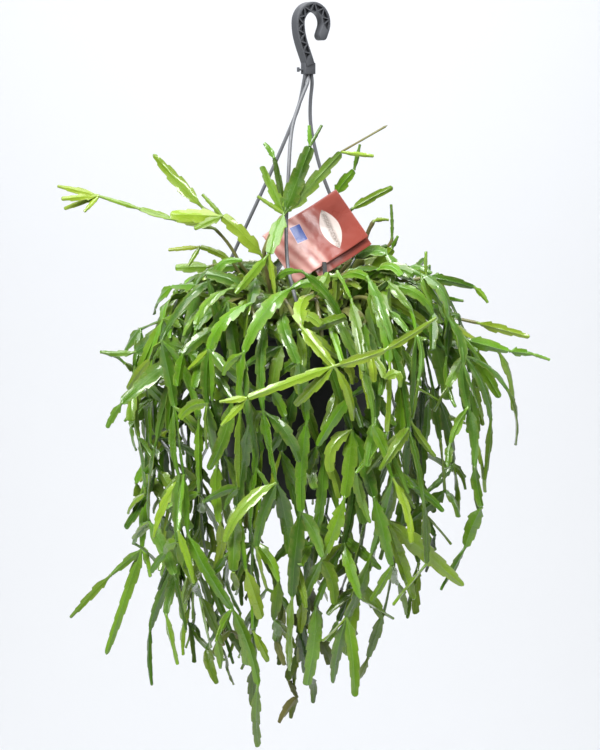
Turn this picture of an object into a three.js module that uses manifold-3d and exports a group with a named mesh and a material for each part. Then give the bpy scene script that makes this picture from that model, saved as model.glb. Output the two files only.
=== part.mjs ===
import * as THREE from "three";
import { mergeVertices } from "three/addons/utils/BufferGeometryUtils.js";
import Module from "manifold-3d";

// A chain cactus in a plastic hanging pot, hung by its hook: a hanger with three rods, a pot full of
// soil, a folded label on a stake, and trailing stems of flat scalloped segments joined end to end.
// Millimetres. The origin is the seat inside the hook's bend, +Z is up, +X is to the right in the
// front view and -Y is the front.

// Pot
const RIM_Z = -270; // top of the rim, below the hook's seat
const RIM_RADIUS = 85;
const RIM_BAND = 11; // height of the thicker band round the rim
const POT_HEIGHT = 156;
const POT_BASE_RADIUS = 63;
const POT_SHOULDER_RADIUS = 79; // outside of the wall just under the rim band
const POT_WALL = 1.8;
const POT_FLOOR = 2.4;
const POT_FOOT = 2.5; // height of the foot ring that the pot stands on
const POT_FOOT_WIDTH = 9;
const POT_SIDES = 24;
const POT_AXIS_X = -12; // the pot hangs a little to the left of the hook
const DRAIN_HOLES = 6;
const DRAIN_RADIUS = 4;
const DRAIN_CIRCLE = 38;

// Lugs on the rim, where the rods clip in
const LUG_ANGLES = [-118, 2, 122].map(THREE.MathUtils.degToRad); // from the front, towards +X
const LUG_CIRCLE = 87;
const LUG_RADIUS = 4.6;
const LUG_HEIGHT = 4;
const LUG_HOLE = 2.1;

// Hook
const HOOK_BEND = 9.5; // inner radius of the bend
const HOOK_BAND = 8.8; // width of the flat band
const HOOK_DEPTH = 9; // thickness across the band
const HOOK_TURN = THREE.MathUtils.degToRad(35); // the hook is turned about the vertical
const HOOK_FOOT = [-3, -46]; // where the shank ends, in the hook's own plane
const HOOK_TIP_ANGLE = THREE.MathUtils.degToRad(-22);
const HOOK_TIP = 6; // straight length past the bend
const POCKET_DEPTH = 2.8;
const POCKET_PITCH = 4.6;
const COLLAR_WIDTH = 11.5;
const COLLAR_HEIGHT = 8;

// Rods
const ROD_RADIUS = 1.6;
const ROD_SIDES = 6;
const ROD_SOCKET = 5; // length of rod inside the collar
const ROD_PITCH = 3.6; // spacing of the rods in the collar
const ROD_STRAIGHT = 9; // straight length at the lug
const KNOB_RADIUS = 3.4;
const KNOB_HEIGHT = 5;
const FIT_GAP = 0.3;

// Soil
const SOIL_BELOW_RIM = 10;
const SOIL_DOME = 5;
const STEM_HOLE = 3.1; // from the middle to a corner of the hole that a stem stands in
const STEM_DEPTH = 11; // how deep a stem stands in the soil

// Plant: the outline of one blade, as shares of its length and half width
const BLADE_RINGS = [
  { at: 0.17, left: 0.8, right: 0.62 },
  { at: 0.5, left: 0.6, right: 1.0 },
  { at: 0.83, left: 0.96, right: 0.58 },
];
const SHORT_BLADE = 92; // a shorter blade has fewer sections
const BLADE_RIDGE = 1.5; // height of the rib along the middle of a blade
const BLADE_BACK = 0.9; // depth of a blade behind its middle line
const JOINT_HALF = 1.7; // half width of the neck between two blades
const ROOT_HALF = 2.3; // half width of the woody stem that leaves the soil
const BRANCH_HALF = 1.5; // half width where a side branch leaves a joint

// Plant: how it grows
const ROOT_COUNT = 66;
const GROWN_STEMS = 29;
const FRONT_CROWDING = 0.55; // how much closer the grown stems stand at the front
const PLACED_PULL = 0.5; // the stems placed by hand rise from the middle of the pot
const ROOT_CIRCLE = 66; // radius of the planted area
const CREST_Z = RIM_Z + 34; // above this a grown stem turns down
const GOLDEN_ANGLE = Math.PI * (3 - Math.sqrt(5));
const GROWTH_SEED = 20303;
const TRIES = 30; // headings that a segment tries when its way is blocked
const RETRIES = 8; // times that a whole stem starts again
const CLEAR_STEP = 7; // spacing of the balls that stand for a segment when it looks for room
const CLEAR_BALL = 3.1;
const INNER_LENGTHS = [30, 50]; // of blades inside the rim
const HUNG_LENGTHS = [50, 90]; // of blades that hang
const BLADE_WIDTHS = [8, 15];
const LOOSENESS = [0.2, 0.45]; // how far headings stray, from stem to stem
const SIDE_CHANCE = 0.27; // that a side run leaves a joint, tried twice
const SIDE_SPREAD = 1.1; // how far a side run turns out
const SIDE_MOST = 2; // blades in a side run

// How far the mass of stems reaches from the pot's axis, by height: it is wider on the right
const MASS = [
  { z: -230, left: 105, right: 130 },
  { z: -300, left: 150, right: 176 },
  { z: -350, left: 152, right: 182 },
  { z: -440, left: 134, right: 174 },
  { z: -520, left: 124, right: 152 },
  { z: -575, left: 114, right: 100 },
  { z: -620, left: 96, right: 62 },
  { z: -655, left: 50, right: 45 },
];
// The lowest that a stem hangs, by its place left or right of the pot's axis
const HEM = [
  { x: -150, z: -470 },
  { x: -118, z: -585 },
  { x: -60, z: -635 },
  { x: 15, z: -645 },
  { x: 60, z: -600 },
  { x: 105, z: -545 },
  { x: 150, z: -505 },
  { x: 185, z: -430 },
];

// The view that the hand-placed stems were read in: pixels of a 600 by 750 frame
const VIEW_DISTANCE = 1500;
const VIEW_X = -9.7;
const VIEW_Z = -60;
const VIEW_PITCH = THREE.MathUtils.degToRad(10);
const VIEW_MIDDLE = { u: 300, v: 375 };
const VIEW_SCALE = 0.9; // millimetres to a pixel at the pot's axis

const UP = new THREE.Vector3(0, 0, 1);

const wasm = await Module();
wasm.setup();

// Solids

// A closed three.js geometry as a solid that can be cut and joined.
function solidOf(geometry) {
  const bare = geometry.index ? geometry.toNonIndexed() : geometry.clone();
  for (const name of Object.keys(bare.attributes)) {
    if (name !== "position") bare.deleteAttribute(name);
  }
  const merged = mergeVertices(bare, 1e-3);
  return new wasm.Manifold(
    new wasm.Mesh({
      numProp: 3,
      vertProperties: new Float32Array(merged.attributes.position.array),
      triVerts: new Uint32Array(merged.index.array),
    }),
  );
}

function geometryOf(solid) {
  const mesh = solid.getMesh();
  const positions = new Float32Array(mesh.numVert * 3);
  for (let i = 0; i < mesh.numVert; i++) {
    positions.set(mesh.vertProperties.subarray(i * mesh.numProp, i * mesh.numProp + 3), i * 3);
  }
  const geometry = new THREE.BufferGeometry();
  geometry.setAttribute("position", new THREE.BufferAttribute(positions, 3));
  geometry.setIndex(new THREE.BufferAttribute(mesh.triVerts, 1));
  return geometry;
}

// A closed body through rings of corners, each ring turning left as seen along the way it runs.
function loft(corners, sides) {
  const index = [];
  const last = corners.length - sides;
  for (let start = 0; start < last; start += sides) {
    for (let side = 0; side < sides; side++) {
      const [a, b] = [start + side, start + ((side + 1) % sides)];
      index.push(a, b + sides, b, a, a + sides, b + sides);
    }
  }
  for (let side = 1; side + 1 < sides; side++) {
    index.push(0, side, side + 1, last, last + side + 1, last + side);
  }
  const positions = corners.flatMap((corner) => corner.toArray());
  const geometry = new THREE.BufferGeometry();
  geometry.setAttribute("position", new THREE.BufferAttribute(new Float32Array(positions), 3));
  geometry.setIndex(index);
  return geometry;
}

function plastic(color, roughness) {
  return new THREE.MeshStandardMaterial({ color, roughness, metalness: 0 });
}

function namedMesh(name, geometry, material) {
  const mesh = new THREE.Mesh(geometry, material);
  mesh.name = name;
  return mesh;
}

// A lathe geometry about +Z from [radius, z] pairs.
function turned(profile, sides) {
  const points = profile.map(([radius, z]) => new THREE.Vector2(radius, z));
  return new THREE.LatheGeometry(points, sides).rotateX(Math.PI / 2);
}

function upright(radius, bottom, top, sides, x, y) {
  const post = new THREE.CylinderGeometry(radius, radius, top - bottom, sides).rotateX(Math.PI / 2);
  return solidOf(post.translate(x, y, (bottom + top) / 2));
}

// Pot, soil and their holes

const POT_BOTTOM = RIM_Z - POT_HEIGHT;

function potRadius(z) {
  if (z > RIM_Z - RIM_BAND) return RIM_RADIUS;
  const share = (z - POT_BOTTOM) / (POT_HEIGHT - RIM_BAND);
  return POT_BASE_RADIUS + (POT_SHOULDER_RADIUS - POT_BASE_RADIUS) * Math.max(0, share);
}

function lugPlace(angle) {
  return [LUG_CIRCLE * Math.sin(angle), -LUG_CIRCLE * Math.cos(angle)];
}

function potSolid() {
  const under = RIM_Z - RIM_BAND;
  const inside = POT_SHOULDER_RADIUS - POT_WALL;
  const foot = POT_BASE_RADIUS - POT_FOOT_WIDTH;
  let pot = solidOf(
    turned(
      [
        [0, POT_BOTTOM + POT_FOOT],
        [foot, POT_BOTTOM + POT_FOOT],
        [foot + 1, POT_BOTTOM],
        [POT_BASE_RADIUS, POT_BOTTOM],
        [POT_SHOULDER_RADIUS, under],
        [RIM_RADIUS, under + 2],
        [RIM_RADIUS, RIM_Z],
        [inside + 2, RIM_Z],
        [inside, under],
        [POT_BASE_RADIUS - POT_WALL, POT_BOTTOM + POT_FOOT + POT_FLOOR],
        [0, POT_BOTTOM + POT_FOOT + POT_FLOOR],
      ],
      POT_SIDES,
    ),
  );
  for (const angle of LUG_ANGLES) {
    const [x, y] = lugPlace(angle);
    pot = pot.add(upright(LUG_RADIUS, RIM_Z - LUG_HEIGHT, RIM_Z, 10, x, y));
  }
  for (const angle of LUG_ANGLES) {
    const [x, y] = lugPlace(angle);
    pot = pot.subtract(upright(LUG_HOLE, RIM_Z - RIM_BAND - 4, RIM_Z + 2, 8, x, y));
    const clear = KNOB_RADIUS + 2 * FIT_GAP;
    pot = pot.subtract(upright(clear, RIM_Z - RIM_BAND - 4, RIM_Z - LUG_HEIGHT, 10, x, y));
  }
  for (let i = 0; i < DRAIN_HOLES; i++) {
    const turn = ((i + 0.5) / DRAIN_HOLES) * 2 * Math.PI;
    const [x, y] = [DRAIN_CIRCLE * Math.cos(turn), DRAIN_CIRCLE * Math.sin(turn)];
    pot = pot.subtract(upright(DRAIN_RADIUS, POT_BOTTOM - 1, POT_BOTTOM + 8, 8, x, y));
  }
  return pot;
}

function soilHeight(radius) {
  const share = Math.min(1, radius / ROOT_CIRCLE);
  return RIM_Z - SOIL_BELOW_RIM + SOIL_DOME * (1 - share * share);
}

function soilSolid(roots, stake) {
  const floor = POT_BOTTOM + POT_FOOT + POT_FLOOR + FIT_GAP;
  const gap = POT_WALL + FIT_GAP + 0.3;
  const edge = RIM_Z - SOIL_BELOW_RIM;
  let soil = solidOf(
    turned(
      [
        [0, floor],
        [POT_BASE_RADIUS - gap, floor],
        [potRadius(edge - 2) - gap, edge - 1],
        [ROOT_CIRCLE, soilHeight(ROOT_CIRCLE)],
        [ROOT_CIRCLE * 0.5, soilHeight(ROOT_CIRCLE * 0.5)],
        [0, soilHeight(0)],
      ],
      24,
    ),
  );
  for (const root of roots) {
    const bottom = root.z - 0.5;
    soil = soil.subtract(upright(STEM_HOLE, bottom, soilHeight(0) + 5, 3, root.x - POT_AXIS_X, root.y));
  }
  const side = STAKE_WIDTH + 2 * FIT_GAP;
  const slot = new THREE.BoxGeometry(side, side, 2 * STEM_DEPTH);
  soil = soil.subtract(solidOf(slot.translate(stake.x - POT_AXIS_X, stake.y, stake.z + STEM_DEPTH - 0.5)));
  return soil;
}

// Hanger

// The middle line of the hook's band in its own plane: shank, bend and tip.
function hookLine() {
  const radius = HOOK_BEND + HOOK_BAND / 2;
  const centre = new THREE.Vector2(0, -HOOK_BEND);
  const shank = new THREE.CubicBezierCurve(
    new THREE.Vector2(...HOOK_FOOT),
    new THREE.Vector2(HOOK_FOOT[0] - 4.5, HOOK_FOOT[1] + 13),
    new THREE.Vector2(-radius, centre.y - 14),
    new THREE.Vector2(-radius, centre.y),
  );
  const points = shank.getPoints(9);
  const bendSteps = 12;
  for (let i = 1; i <= bendSteps; i++) {
    const turn = Math.PI + ((HOOK_TIP_ANGLE - Math.PI) * i) / bendSteps;
    points.push(new THREE.Vector2(Math.cos(turn), Math.sin(turn)).multiplyScalar(radius).add(centre));
  }
  const end = points[points.length - 1];
  const heading = new THREE.Vector2(Math.sin(HOOK_TIP_ANGLE), -Math.cos(HOOK_TIP_ANGLE));
  points.push(end.clone().addScaledVector(heading, HOOK_TIP));
  return points;
}

// The line moved sideways by a distance, to the left of the way it runs.
function beside(line, distance) {
  return line.map((point, i) => {
    const before = line[Math.max(0, i - 1)];
    const after = line[Math.min(line.length - 1, i + 1)];
    const along = after.clone().sub(before).normalize();
    return new THREE.Vector2(point.x - along.y * distance, point.y + along.x * distance);
  });
}

function slab(points, bottom, top) {
  const depth = top - bottom;
  const shape = new THREE.Shape(points);
  return new THREE.ExtrudeGeometry(shape, { depth, bevelEnabled: false }).translate(0, 0, bottom);
}

function shrunk(corners, share) {
  const middle = corners.reduce((sum, c) => sum.add(c), new THREE.Vector2()).divideScalar(corners.length);
  return corners.map((c) => c.clone().sub(middle).multiplyScalar(share).add(middle));
}

function hookSolid() {
  const line = hookLine();
  const half = HOOK_BAND / 2;
  const left = beside(line, half);
  const right = beside(line, -half);
  const tip = line[line.length - 1];
  const along = tip.clone().sub(line[line.length - 2]).normalize();
  const across = new THREE.Vector2(-along.y, along.x);
  const nose = [60, 30, 0, -30, -60].map((degrees) => {
    const turn = THREE.MathUtils.degToRad(degrees);
    return tip
      .clone()
      .addScaledVector(across, half * Math.sin(turn))
      .addScaledVector(along, half * Math.cos(turn));
  });
  let hook = solidOf(slab([...left, ...nose, ...right.reverse()], -HOOK_DEPTH / 2, HOOK_DEPTH / 2));

  // Triangular pockets between the zigzag ribs, on both faces
  const curve = new THREE.SplineCurve(line);
  const count = Math.floor(curve.getLength() / POCKET_PITCH);
  const railed = half - 1;
  const nodes = curve.getSpacedPoints(count).map((point, i) => {
    const tangent = curve.getTangentAt(i / count);
    const side = i % 2 ? railed : -railed;
    return new THREE.Vector2(point.x - tangent.y * side, point.y + tangent.x * side);
  });
  for (let i = 2; i < nodes.length - 2; i++) {
    const corners = shrunk([nodes[i - 1], nodes[i], nodes[i + 1]], 0.66);
    if (THREE.ShapeUtils.isClockWise(corners)) corners.reverse();
    const face = HOOK_DEPTH / 2;
    hook = hook.subtract(solidOf(slab(corners, face - POCKET_DEPTH, face + 1)));
    hook = hook.subtract(solidOf(slab(corners, -face - 1, POCKET_DEPTH - face)));
  }

  // Collar that holds the rods, with a small peg on its left
  const [footX, footZ] = HOOK_FOOT;
  const collarBottom = footZ - COLLAR_HEIGHT;
  const collar = new THREE.BoxGeometry(COLLAR_WIDTH, COLLAR_HEIGHT + 2, HOOK_DEPTH - 2);
  hook = hook.add(solidOf(collar.translate(footX, footZ - COLLAR_HEIGHT / 2 + 1, 0)));
  const peg = new THREE.CylinderGeometry(0.9, 0.9, 6, 6).rotateZ(Math.PI / 2);
  const head = new THREE.CylinderGeometry(1.2, 1.2, 4, 6);
  const pegX = footX - COLLAR_WIDTH / 2 - 2;
  hook = hook.add(solidOf(peg.translate(pegX, collarBottom + 4, 0)));
  hook = hook.add(solidOf(head.translate(pegX - 3, collarBottom + 4, 0)));
  const sockets = [-1, 0, 1].map((place) => {
    const length = ROD_SOCKET + FIT_GAP;
    const socket = new THREE.CylinderGeometry(ROD_RADIUS + FIT_GAP, ROD_RADIUS + FIT_GAP, length * 2, 8);
    return solidOf(socket.translate(footX + place * ROD_PITCH, collarBottom, 0));
  });
  for (const socket of sockets) hook = hook.subtract(socket);
  return hook;
}

// From the hook's own plane into the part's frame
const HOOK_MATRIX = new THREE.Matrix4()
  .makeRotationZ(HOOK_TURN)
  .multiply(new THREE.Matrix4().makeRotationX(Math.PI / 2));

function collarPoint(place, drop) {
  const point = new THREE.Vector3(HOOK_FOOT[0] + place * ROD_PITCH, HOOK_FOOT[1] - COLLAR_HEIGHT - drop, 0);
  return point.applyMatrix4(HOOK_MATRIX);
}

// The way each rod bows from the collar to its lug, as points from the collar's foot
const ROD_BOWS = [
  {
    name: "hanger_rod_left",
    place: -1,
    lug: 0,
    bow: [[-4, 0, -7], [-6, 3, -18], [-9, 6, -30], [-15, 9, -45], [-28, 14, -75]],
  },
  {
    name: "hanger_rod_front",
    place: 0,
    lug: 1,
    bow: [[-0.5, -3, -7], [-4, -6, -16], [-9, -9, -29], [-14, -14, -46], [-17, -28, -80], [-18, -66, -160]],
  },
  {
    name: "hanger_rod_right",
    place: 1,
    lug: 2,
    bow: [[3.5, 3, -7], [2, 5, -24], [2, 7, -40], [4, 9, -55], [11, 13, -83], [22, 19, -112]],
  },
];

function rodLine({ place, lug, bow }) {
  const [lugX, lugY] = lugPlace(LUG_ANGLES[lug]);
  const below = RIM_Z - LUG_HEIGHT - FIT_GAP - KNOB_HEIGHT / 2;
  const points = [
    collarPoint(place, -ROD_SOCKET),
    collarPoint(place, -ROD_SOCKET / 2),
    collarPoint(place, 1),
    ...bow.map(([x, y, z]) => collarPoint(0, 0).add(new THREE.Vector3(x, y, z))),
    new THREE.Vector3(POT_AXIS_X + lugX, lugY, RIM_Z + ROD_STRAIGHT),
    new THREE.Vector3(POT_AXIS_X + lugX, lugY, RIM_Z),
    new THREE.Vector3(POT_AXIS_X + lugX, lugY, below),
  ];
  return new THREE.CatmullRomCurve3(points, false, "centripetal");
}

// A round bar through points that run mostly up and down.
function barSolid(points, radius, sides) {
  const corners = points.flatMap((point, i) => {
    const before = points[Math.max(0, i - 1)];
    const after = points[Math.min(points.length - 1, i + 1)];
    const heading = after.clone().sub(before).normalize();
    const normal = squareTo(new THREE.Vector3(0, -1, 0), heading);
    return Array.from({ length: sides }, (_, k) =>
      point
        .clone()
        .addScaledVector(normal.clone().applyAxisAngle(heading, (-k / sides) * 2 * Math.PI), radius),
    );
  });
  return solidOf(loft(corners, sides));
}

function rodSolid(bow) {
  const curve = rodLine(bow);
  const rod = barSolid(curve.getPoints(2 * (curve.points.length - 1)), ROD_RADIUS, ROD_SIDES);
  const [x, y] = lugPlace(LUG_ANGLES[bow.lug]);
  const top = RIM_Z - LUG_HEIGHT - FIT_GAP;
  return rod.add(upright(KNOB_RADIUS, top - KNOB_HEIGHT, top, 8, POT_AXIS_X + x, y));
}

// Label: one folded card on a slim stake that stands in the soil

const LABEL_THICK = 0.8;
const LABEL_GAP = 1.0; // between the two leaves at the fold
const LABEL_OPEN = THREE.MathUtils.degToRad(3); // how far the leaves stand apart
const LABEL_BOW = 2.6; // how far the leaves wave
const LABEL_WIDTH = 80;
const LABEL_HEIGHT = 51;
// Corners of the front leaf in the view: the ends of the fold, then the lower left
const LABEL_FOLD_LEFT = { u: 263, v: 235, depth: 42 };
const LABEL_FOLD_RIGHT = { u: 335, v: 190, depth: 14 };
const LABEL_LOWER_LEFT = { u: 299, v: 277, depth: 50 };
const STAKE_ACROSS = -13; // where along the label it is held, from the middle
const STAKE_WIDTH = 3.6;
const STAKE_THICK = 1.4;
const STAKE_NEAR_PRONG = 10; // how far the near prong reaches up past the label's lower edge
const STAKE_FAR_PRONG = 66; // the far prong stands up past the fold

// How far the label's leaves wave back from their own plane.
function labelBow(x) {
  return LABEL_BOW * Math.sin((x / LABEL_WIDTH) * 2 * Math.PI * 1.15 + 0.4);
}

// A waved plate, upright: its waved outline in X and Y, raised along Z.
function wavedPlate(left, right, bottom, top, near, far) {
  const steps = 9;
  const at = (i) => left + ((right - left) * i) / steps;
  const front = Array.from({ length: steps + 1 }, (_, i) => new THREE.Vector2(at(i), labelBow(at(i)) + near));
  const rear = Array.from({ length: steps + 1 }, (_, i) => new THREE.Vector2(at(i), labelBow(at(i)) + far));
  const shape = new THREE.Shape([...front, ...rear.reverse()]);
  const plate = new THREE.ExtrudeGeometry(shape, { depth: top - bottom, bevelEnabled: false });
  return solidOf(plate.translate(0, 0, bottom));
}

// The front leaf, the fold along its top edge and the back leaf, which reaches a little lower.
function labelSolid() {
  const half = LABEL_WIDTH / 2;
  const inner = LABEL_THICK + LABEL_GAP;
  const front = wavedPlate(-half, half, -LABEL_HEIGHT, 0, 0, LABEL_THICK);
  const fold = wavedPlate(-half, half, -1.4, 0, 0, inner + LABEL_THICK);
  const back = wavedPlate(-half + 22, half, -LABEL_HEIGHT - 7, -0.5, inner, inner + LABEL_THICK);
  return front.add(fold).add(back.rotate([THREE.MathUtils.radToDeg(LABEL_OPEN), 0, 0]));
}

// From the label's own frame, with the fold's middle at its origin, into the part's frame
function labelMatrix() {
  const left = fromView(LABEL_FOLD_LEFT);
  const right = fromView(LABEL_FOLD_RIGHT);
  const across = right.clone().sub(left).normalize();
  const upward = squareTo(left.clone().sub(fromView(LABEL_LOWER_LEFT)), across);
  const inward = new THREE.Vector3().crossVectors(upward, across);
  return new THREE.Matrix4().makeBasis(across, inward, upward).setPosition(left.lerp(right, 0.5));
}

// How far the stake's two prongs stand from the front leaf's middle, before and behind it.
function prongPlaces() {
  const near = Math.min(labelBow(STAKE_ACROSS + 2), labelBow(STAKE_ACROSS + 8)) - FIT_GAP - STAKE_THICK;
  const far = LABEL_BOW + 2 * LABEL_THICK + LABEL_GAP + LABEL_HEIGHT * Math.tan(LABEL_OPEN) + FIT_GAP;
  return { near, far, middle: (near + far + STAKE_THICK) / 2 };
}

// From the stake's own frame, upright in the view under the label's lower edge, into the part's frame
function stakeMatrix() {
  const slope = new THREE.Vector3(1, 0, 0).transformDirection(labelMatrix());
  return labelMatrix()
    .multiply(new THREE.Matrix4().makeTranslation(STAKE_ACROSS, 0, -LABEL_HEIGHT - 7))
    .multiply(new THREE.Matrix4().makeRotationY(Math.atan2(slope.z, slope.x)));
}

// A slim stake that stands in the soil, with a short prong before the label and a long one behind it.
function stakeSolid() {
  const { near, far, middle } = prongPlaces();
  const prong = (y, top) => {
    const box = new THREE.BoxGeometry(STAKE_WIDTH, STAKE_THICK, top + 8);
    return solidOf(box.translate(0, y + STAKE_THICK / 2, (top - 8) / 2));
  };
  const bridge = new THREE.BoxGeometry(STAKE_WIDTH, far - near + STAKE_THICK, 3).translate(0, middle, -6.5);
  const clip = prong(near, STAKE_NEAR_PRONG).add(prong(far, STAKE_FAR_PRONG)).add(solidOf(bridge));
  const top = new THREE.Vector3(0, middle, -6.5).applyMatrix4(stakeMatrix());
  const foot = stakeFoot();
  const post = new THREE.BoxGeometry(STAKE_WIDTH, STAKE_WIDTH, top.z - foot.z);
  const held = solidOf(geometryOf(clip).applyMatrix4(stakeMatrix()));
  return held.add(solidOf(post.translate(foot.x, foot.y, (top.z + foot.z) / 2)));
}

// The lower end of the stake, in its hole in the soil.
function stakeFoot() {
  const foot = new THREE.Vector3(0, prongPlaces().middle, -6.5).applyMatrix4(stakeMatrix());
  foot.z = soilHeight(axisDistance(foot)) - STEM_DEPTH;
  return foot;
}

// Stems

// A repeatable stream of numbers from 0 to 1.
function randomStream(seed) {
  let state = seed;
  return () => {
    state = (state * 1664525 + 1013904223) % 4294967296;
    return state / 4294967296;
  };
}

function mix(a, b, share) {
  return a + (b - a) * share;
}

function clamp(value, low, high) {
  return Math.min(high, Math.max(low, value));
}

// A value read between the stops of a list sorted by the key.
function between(stops, key, value, name) {
  const rising = stops[0][key] < stops[1][key] ? 1 : -1;
  let i = 0;
  while (i < stops.length - 2 && rising * (value - stops[i + 1][key]) > 0) i++;
  const share = clamp((value - stops[i][key]) / (stops[i + 1][key] - stops[i][key]), 0, 1);
  return mix(stops[i][name], stops[i + 1][name], share);
}

// A pixel of the view at a depth in front of the pot's axis, as a point in the part's frame.
function fromView({ u, v, depth }) {
  const focal = VIEW_DISTANCE / VIEW_SCALE;
  const ahead = new THREE.Vector3(0, Math.cos(VIEW_PITCH), -Math.sin(VIEW_PITCH));
  const above = new THREE.Vector3(0, Math.sin(VIEW_PITCH), Math.cos(VIEW_PITCH));
  const ray = ahead.multiplyScalar(focal).addScaledVector(above, VIEW_MIDDLE.v - v);
  ray.x = u - VIEW_MIDDLE.u;
  const reach = (VIEW_DISTANCE - depth) / ray.y;
  return new THREE.Vector3(VIEW_X, -VIEW_DISTANCE, VIEW_Z).addScaledVector(ray, reach);
}

function outwardAt(point) {
  const outward = new THREE.Vector3(point.x - POT_AXIS_X, point.y, 0);
  return outward.length() > 1e-6 ? outward.normalize() : new THREE.Vector3(0, -1, 0);
}

function axisDistance(point) {
  const x = point.x - POT_AXIS_X;
  return Math.sqrt(x * x + point.y * point.y);
}

// The part of a direction that stands square to another.
function squareTo(direction, heading) {
  return direction.clone().addScaledVector(heading, -direction.dot(heading)).normalize();
}

// The frame of a segment at a share of its length: a curve from start to end that its knee pulls.
function frameAt(segment, share) {
  const { start, knee, end } = segment;
  const rest = 1 - share;
  const point = start
    .clone()
    .multiplyScalar(rest * rest)
    .addScaledVector(knee, 2 * rest * share)
    .addScaledVector(end, share * share);
  const heading = knee.clone().sub(start).multiplyScalar(rest);
  heading.addScaledVector(end.clone().sub(knee), share).normalize();
  const normal = squareTo(segment.normal, heading);
  const side = new THREE.Vector3().crossVectors(normal, heading);
  return { point, heading, normal, side };
}

// Three corners of a section: left edge, ridge and right edge.
function section(segment, ring) {
  const { point, normal, side } = frameAt(segment, ring.at);
  const back = point.clone().addScaledVector(normal, -ring.back);
  return [
    back.clone().addScaledVector(side, -ring.left),
    point.clone().addScaledVector(normal, ring.ridge),
    back.clone().addScaledVector(side, ring.right),
  ];
}

function evenRing(at, half) {
  return { at, left: 0.87 * half, right: 0.87 * half, ridge: half, back: 0.5 * half };
}

function ringsOf(segment, isLast) {
  const half = segment.width / 2;
  if (segment.kind === "root") return [evenRing(1, half)];
  if (segment.kind === "twig") return [evenRing(0.33, half), evenRing(0.67, half), evenRing(1, half)];
  const length = segment.start.distanceTo(segment.end);
  const inner = length < SHORT_BLADE ? [BLADE_RINGS[0], BLADE_RINGS[2]] : BLADE_RINGS;
  const rings = inner.map((ring) => ({
    at: ring.at,
    left: ring.left * half,
    right: ring.right * half,
    ridge: BLADE_RIDGE,
    back: BLADE_BACK,
  }));
  return [...rings, evenRing(1, isLast ? 0.9 : Math.min(JOINT_HALF, half * 0.6))];
}

// The turn of a section's corners, in thirds, that lies closest to the section before it.
function leastTwist(before, after) {
  const centre = (corners) => corners.reduce((sum, c) => sum.add(c), new THREE.Vector3()).divideScalar(3);
  const from = centre(before);
  const to = centre(after);
  const twist = (turn) =>
    before.reduce((sum, corner, i) => {
      const a = corner.clone().sub(from).normalize();
      const b = after[(i + turn) % 3].clone().sub(to).normalize();
      return sum + a.distanceToSquared(b);
    }, 0);
  return [0, 1, 2].reduce((best, turn) => (twist(turn) < twist(best) - 1e-9 ? turn : best), 0);
}

// A chain of segments as one closed body: sections joined by quads.
function chainGeometry({ segments, rootHalf }) {
  const rings = [section(segments[0], evenRing(0, rootHalf))];
  segments.forEach((segment, i) => {
    const made = ringsOf(segment, i === segments.length - 1).map((ring) => section(segment, ring));
    const turn = leastTwist(rings[rings.length - 1], made[0]);
    for (const corners of made) rings.push(corners.map((_, c) => corners[(c + turn) % 3]));
  });
  return loft(rings.flat(), 3);
}

// The balls that stand for a segment when others look for room.
function ballsOf(segment) {
  const slim = segment.kind !== "blade";
  const radius = slim ? segment.width / 2 + 0.8 : CLEAR_BALL;
  const length = segment.start.distanceTo(segment.knee) + segment.knee.distanceTo(segment.end);
  const steps = Math.ceil(length / (slim ? 3 : CLEAR_STEP));
  const reach = segment.width / 2 - 2.4;
  const offsets = slim || reach < 1 ? [0] : [-reach, 0, reach];
  const balls = [];
  for (let i = 0; i <= steps; i++) {
    const { point, side } = frameAt(segment, i / steps);
    for (const offset of offsets) balls.push({ at: point.clone().addScaledVector(side, offset), radius });
  }
  return balls;
}

// What has been placed so far, sorted into cells, so that a new segment can look for room.
class Space {
  constructor(cell) {
    this.cell = cell;
    this.cells = new Map();
  }

  cellOf(point) {
    return [point.x, point.y, point.z].map((v) => Math.floor(v / this.cell) + 500);
  }

  add(balls, owner) {
    for (const ball of balls) {
      const [x, y, z] = this.cellOf(ball.at);
      const key = (x * 1000 + y) * 1000 + z;
      if (!this.cells.has(key)) this.cells.set(key, []);
      this.cells.get(key).push({ ...ball, owner });
    }
  }

  near(ball) {
    const [x, y, z] = this.cellOf(ball.at);
    const found = [];
    for (let i = x - 1; i <= x + 1; i++) {
      for (let j = y - 1; j <= y + 1; j++) {
        for (let k = z - 1; k <= z + 1; k++) {
          found.push(...(this.cells.get((i * 1000 + j) * 1000 + k) || []));
        }
      }
    }
    return found;
  }

  isFree(balls, owner) {
    return balls.every((ball) =>
      this.near(ball).every((other) => {
        const reach = ball.radius + other.radius;
        return other.owner === owner || ball.at.distanceToSquared(other.at) >= reach * reach;
      }),
    );
  }
}

// True if no ball touches the pot or the soil.
function clearOfPot(balls) {
  return balls.every(({ at, radius }) => {
    const distance = axisDistance(at);
    if (at.z > RIM_Z + radius + 1 || at.z < POT_BOTTOM - radius - 3) return true;
    if (distance > potRadius(at.z) + radius + 1) return true;
    return at.z > soilHeight(distance) + radius && distance < POT_SHOULDER_RADIUS - POT_WALL - radius;
  });
}

// Where a stem stands in the soil, by its number in the spiral of roots.
function rootAt(index) {
  const radius = ROOT_CIRCLE * Math.sqrt((index + 0.5) / ROOT_COUNT);
  const turn = index * GOLDEN_ANGLE;
  const surface = soilHeight(radius);
  return new THREE.Vector3(POT_AXIS_X + radius * Math.sin(turn), -radius * Math.cos(turn), surface);
}

function rootSegment(root) {
  const start = root.clone().addScaledVector(UP, -STEM_DEPTH);
  const end = root.clone().addScaledVector(UP, 2);
  const knee = start.clone().lerp(end, 0.5);
  const normal = new THREE.Vector3(0, -1, 0);
  return { kind: "root", start, knee, end, normal, width: 2 * ROOT_HALF, heading: UP.clone() };
}

// Stems placed by hand

const FRONT = new THREE.Vector3(0, -1, 0.17).normalize();

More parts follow.
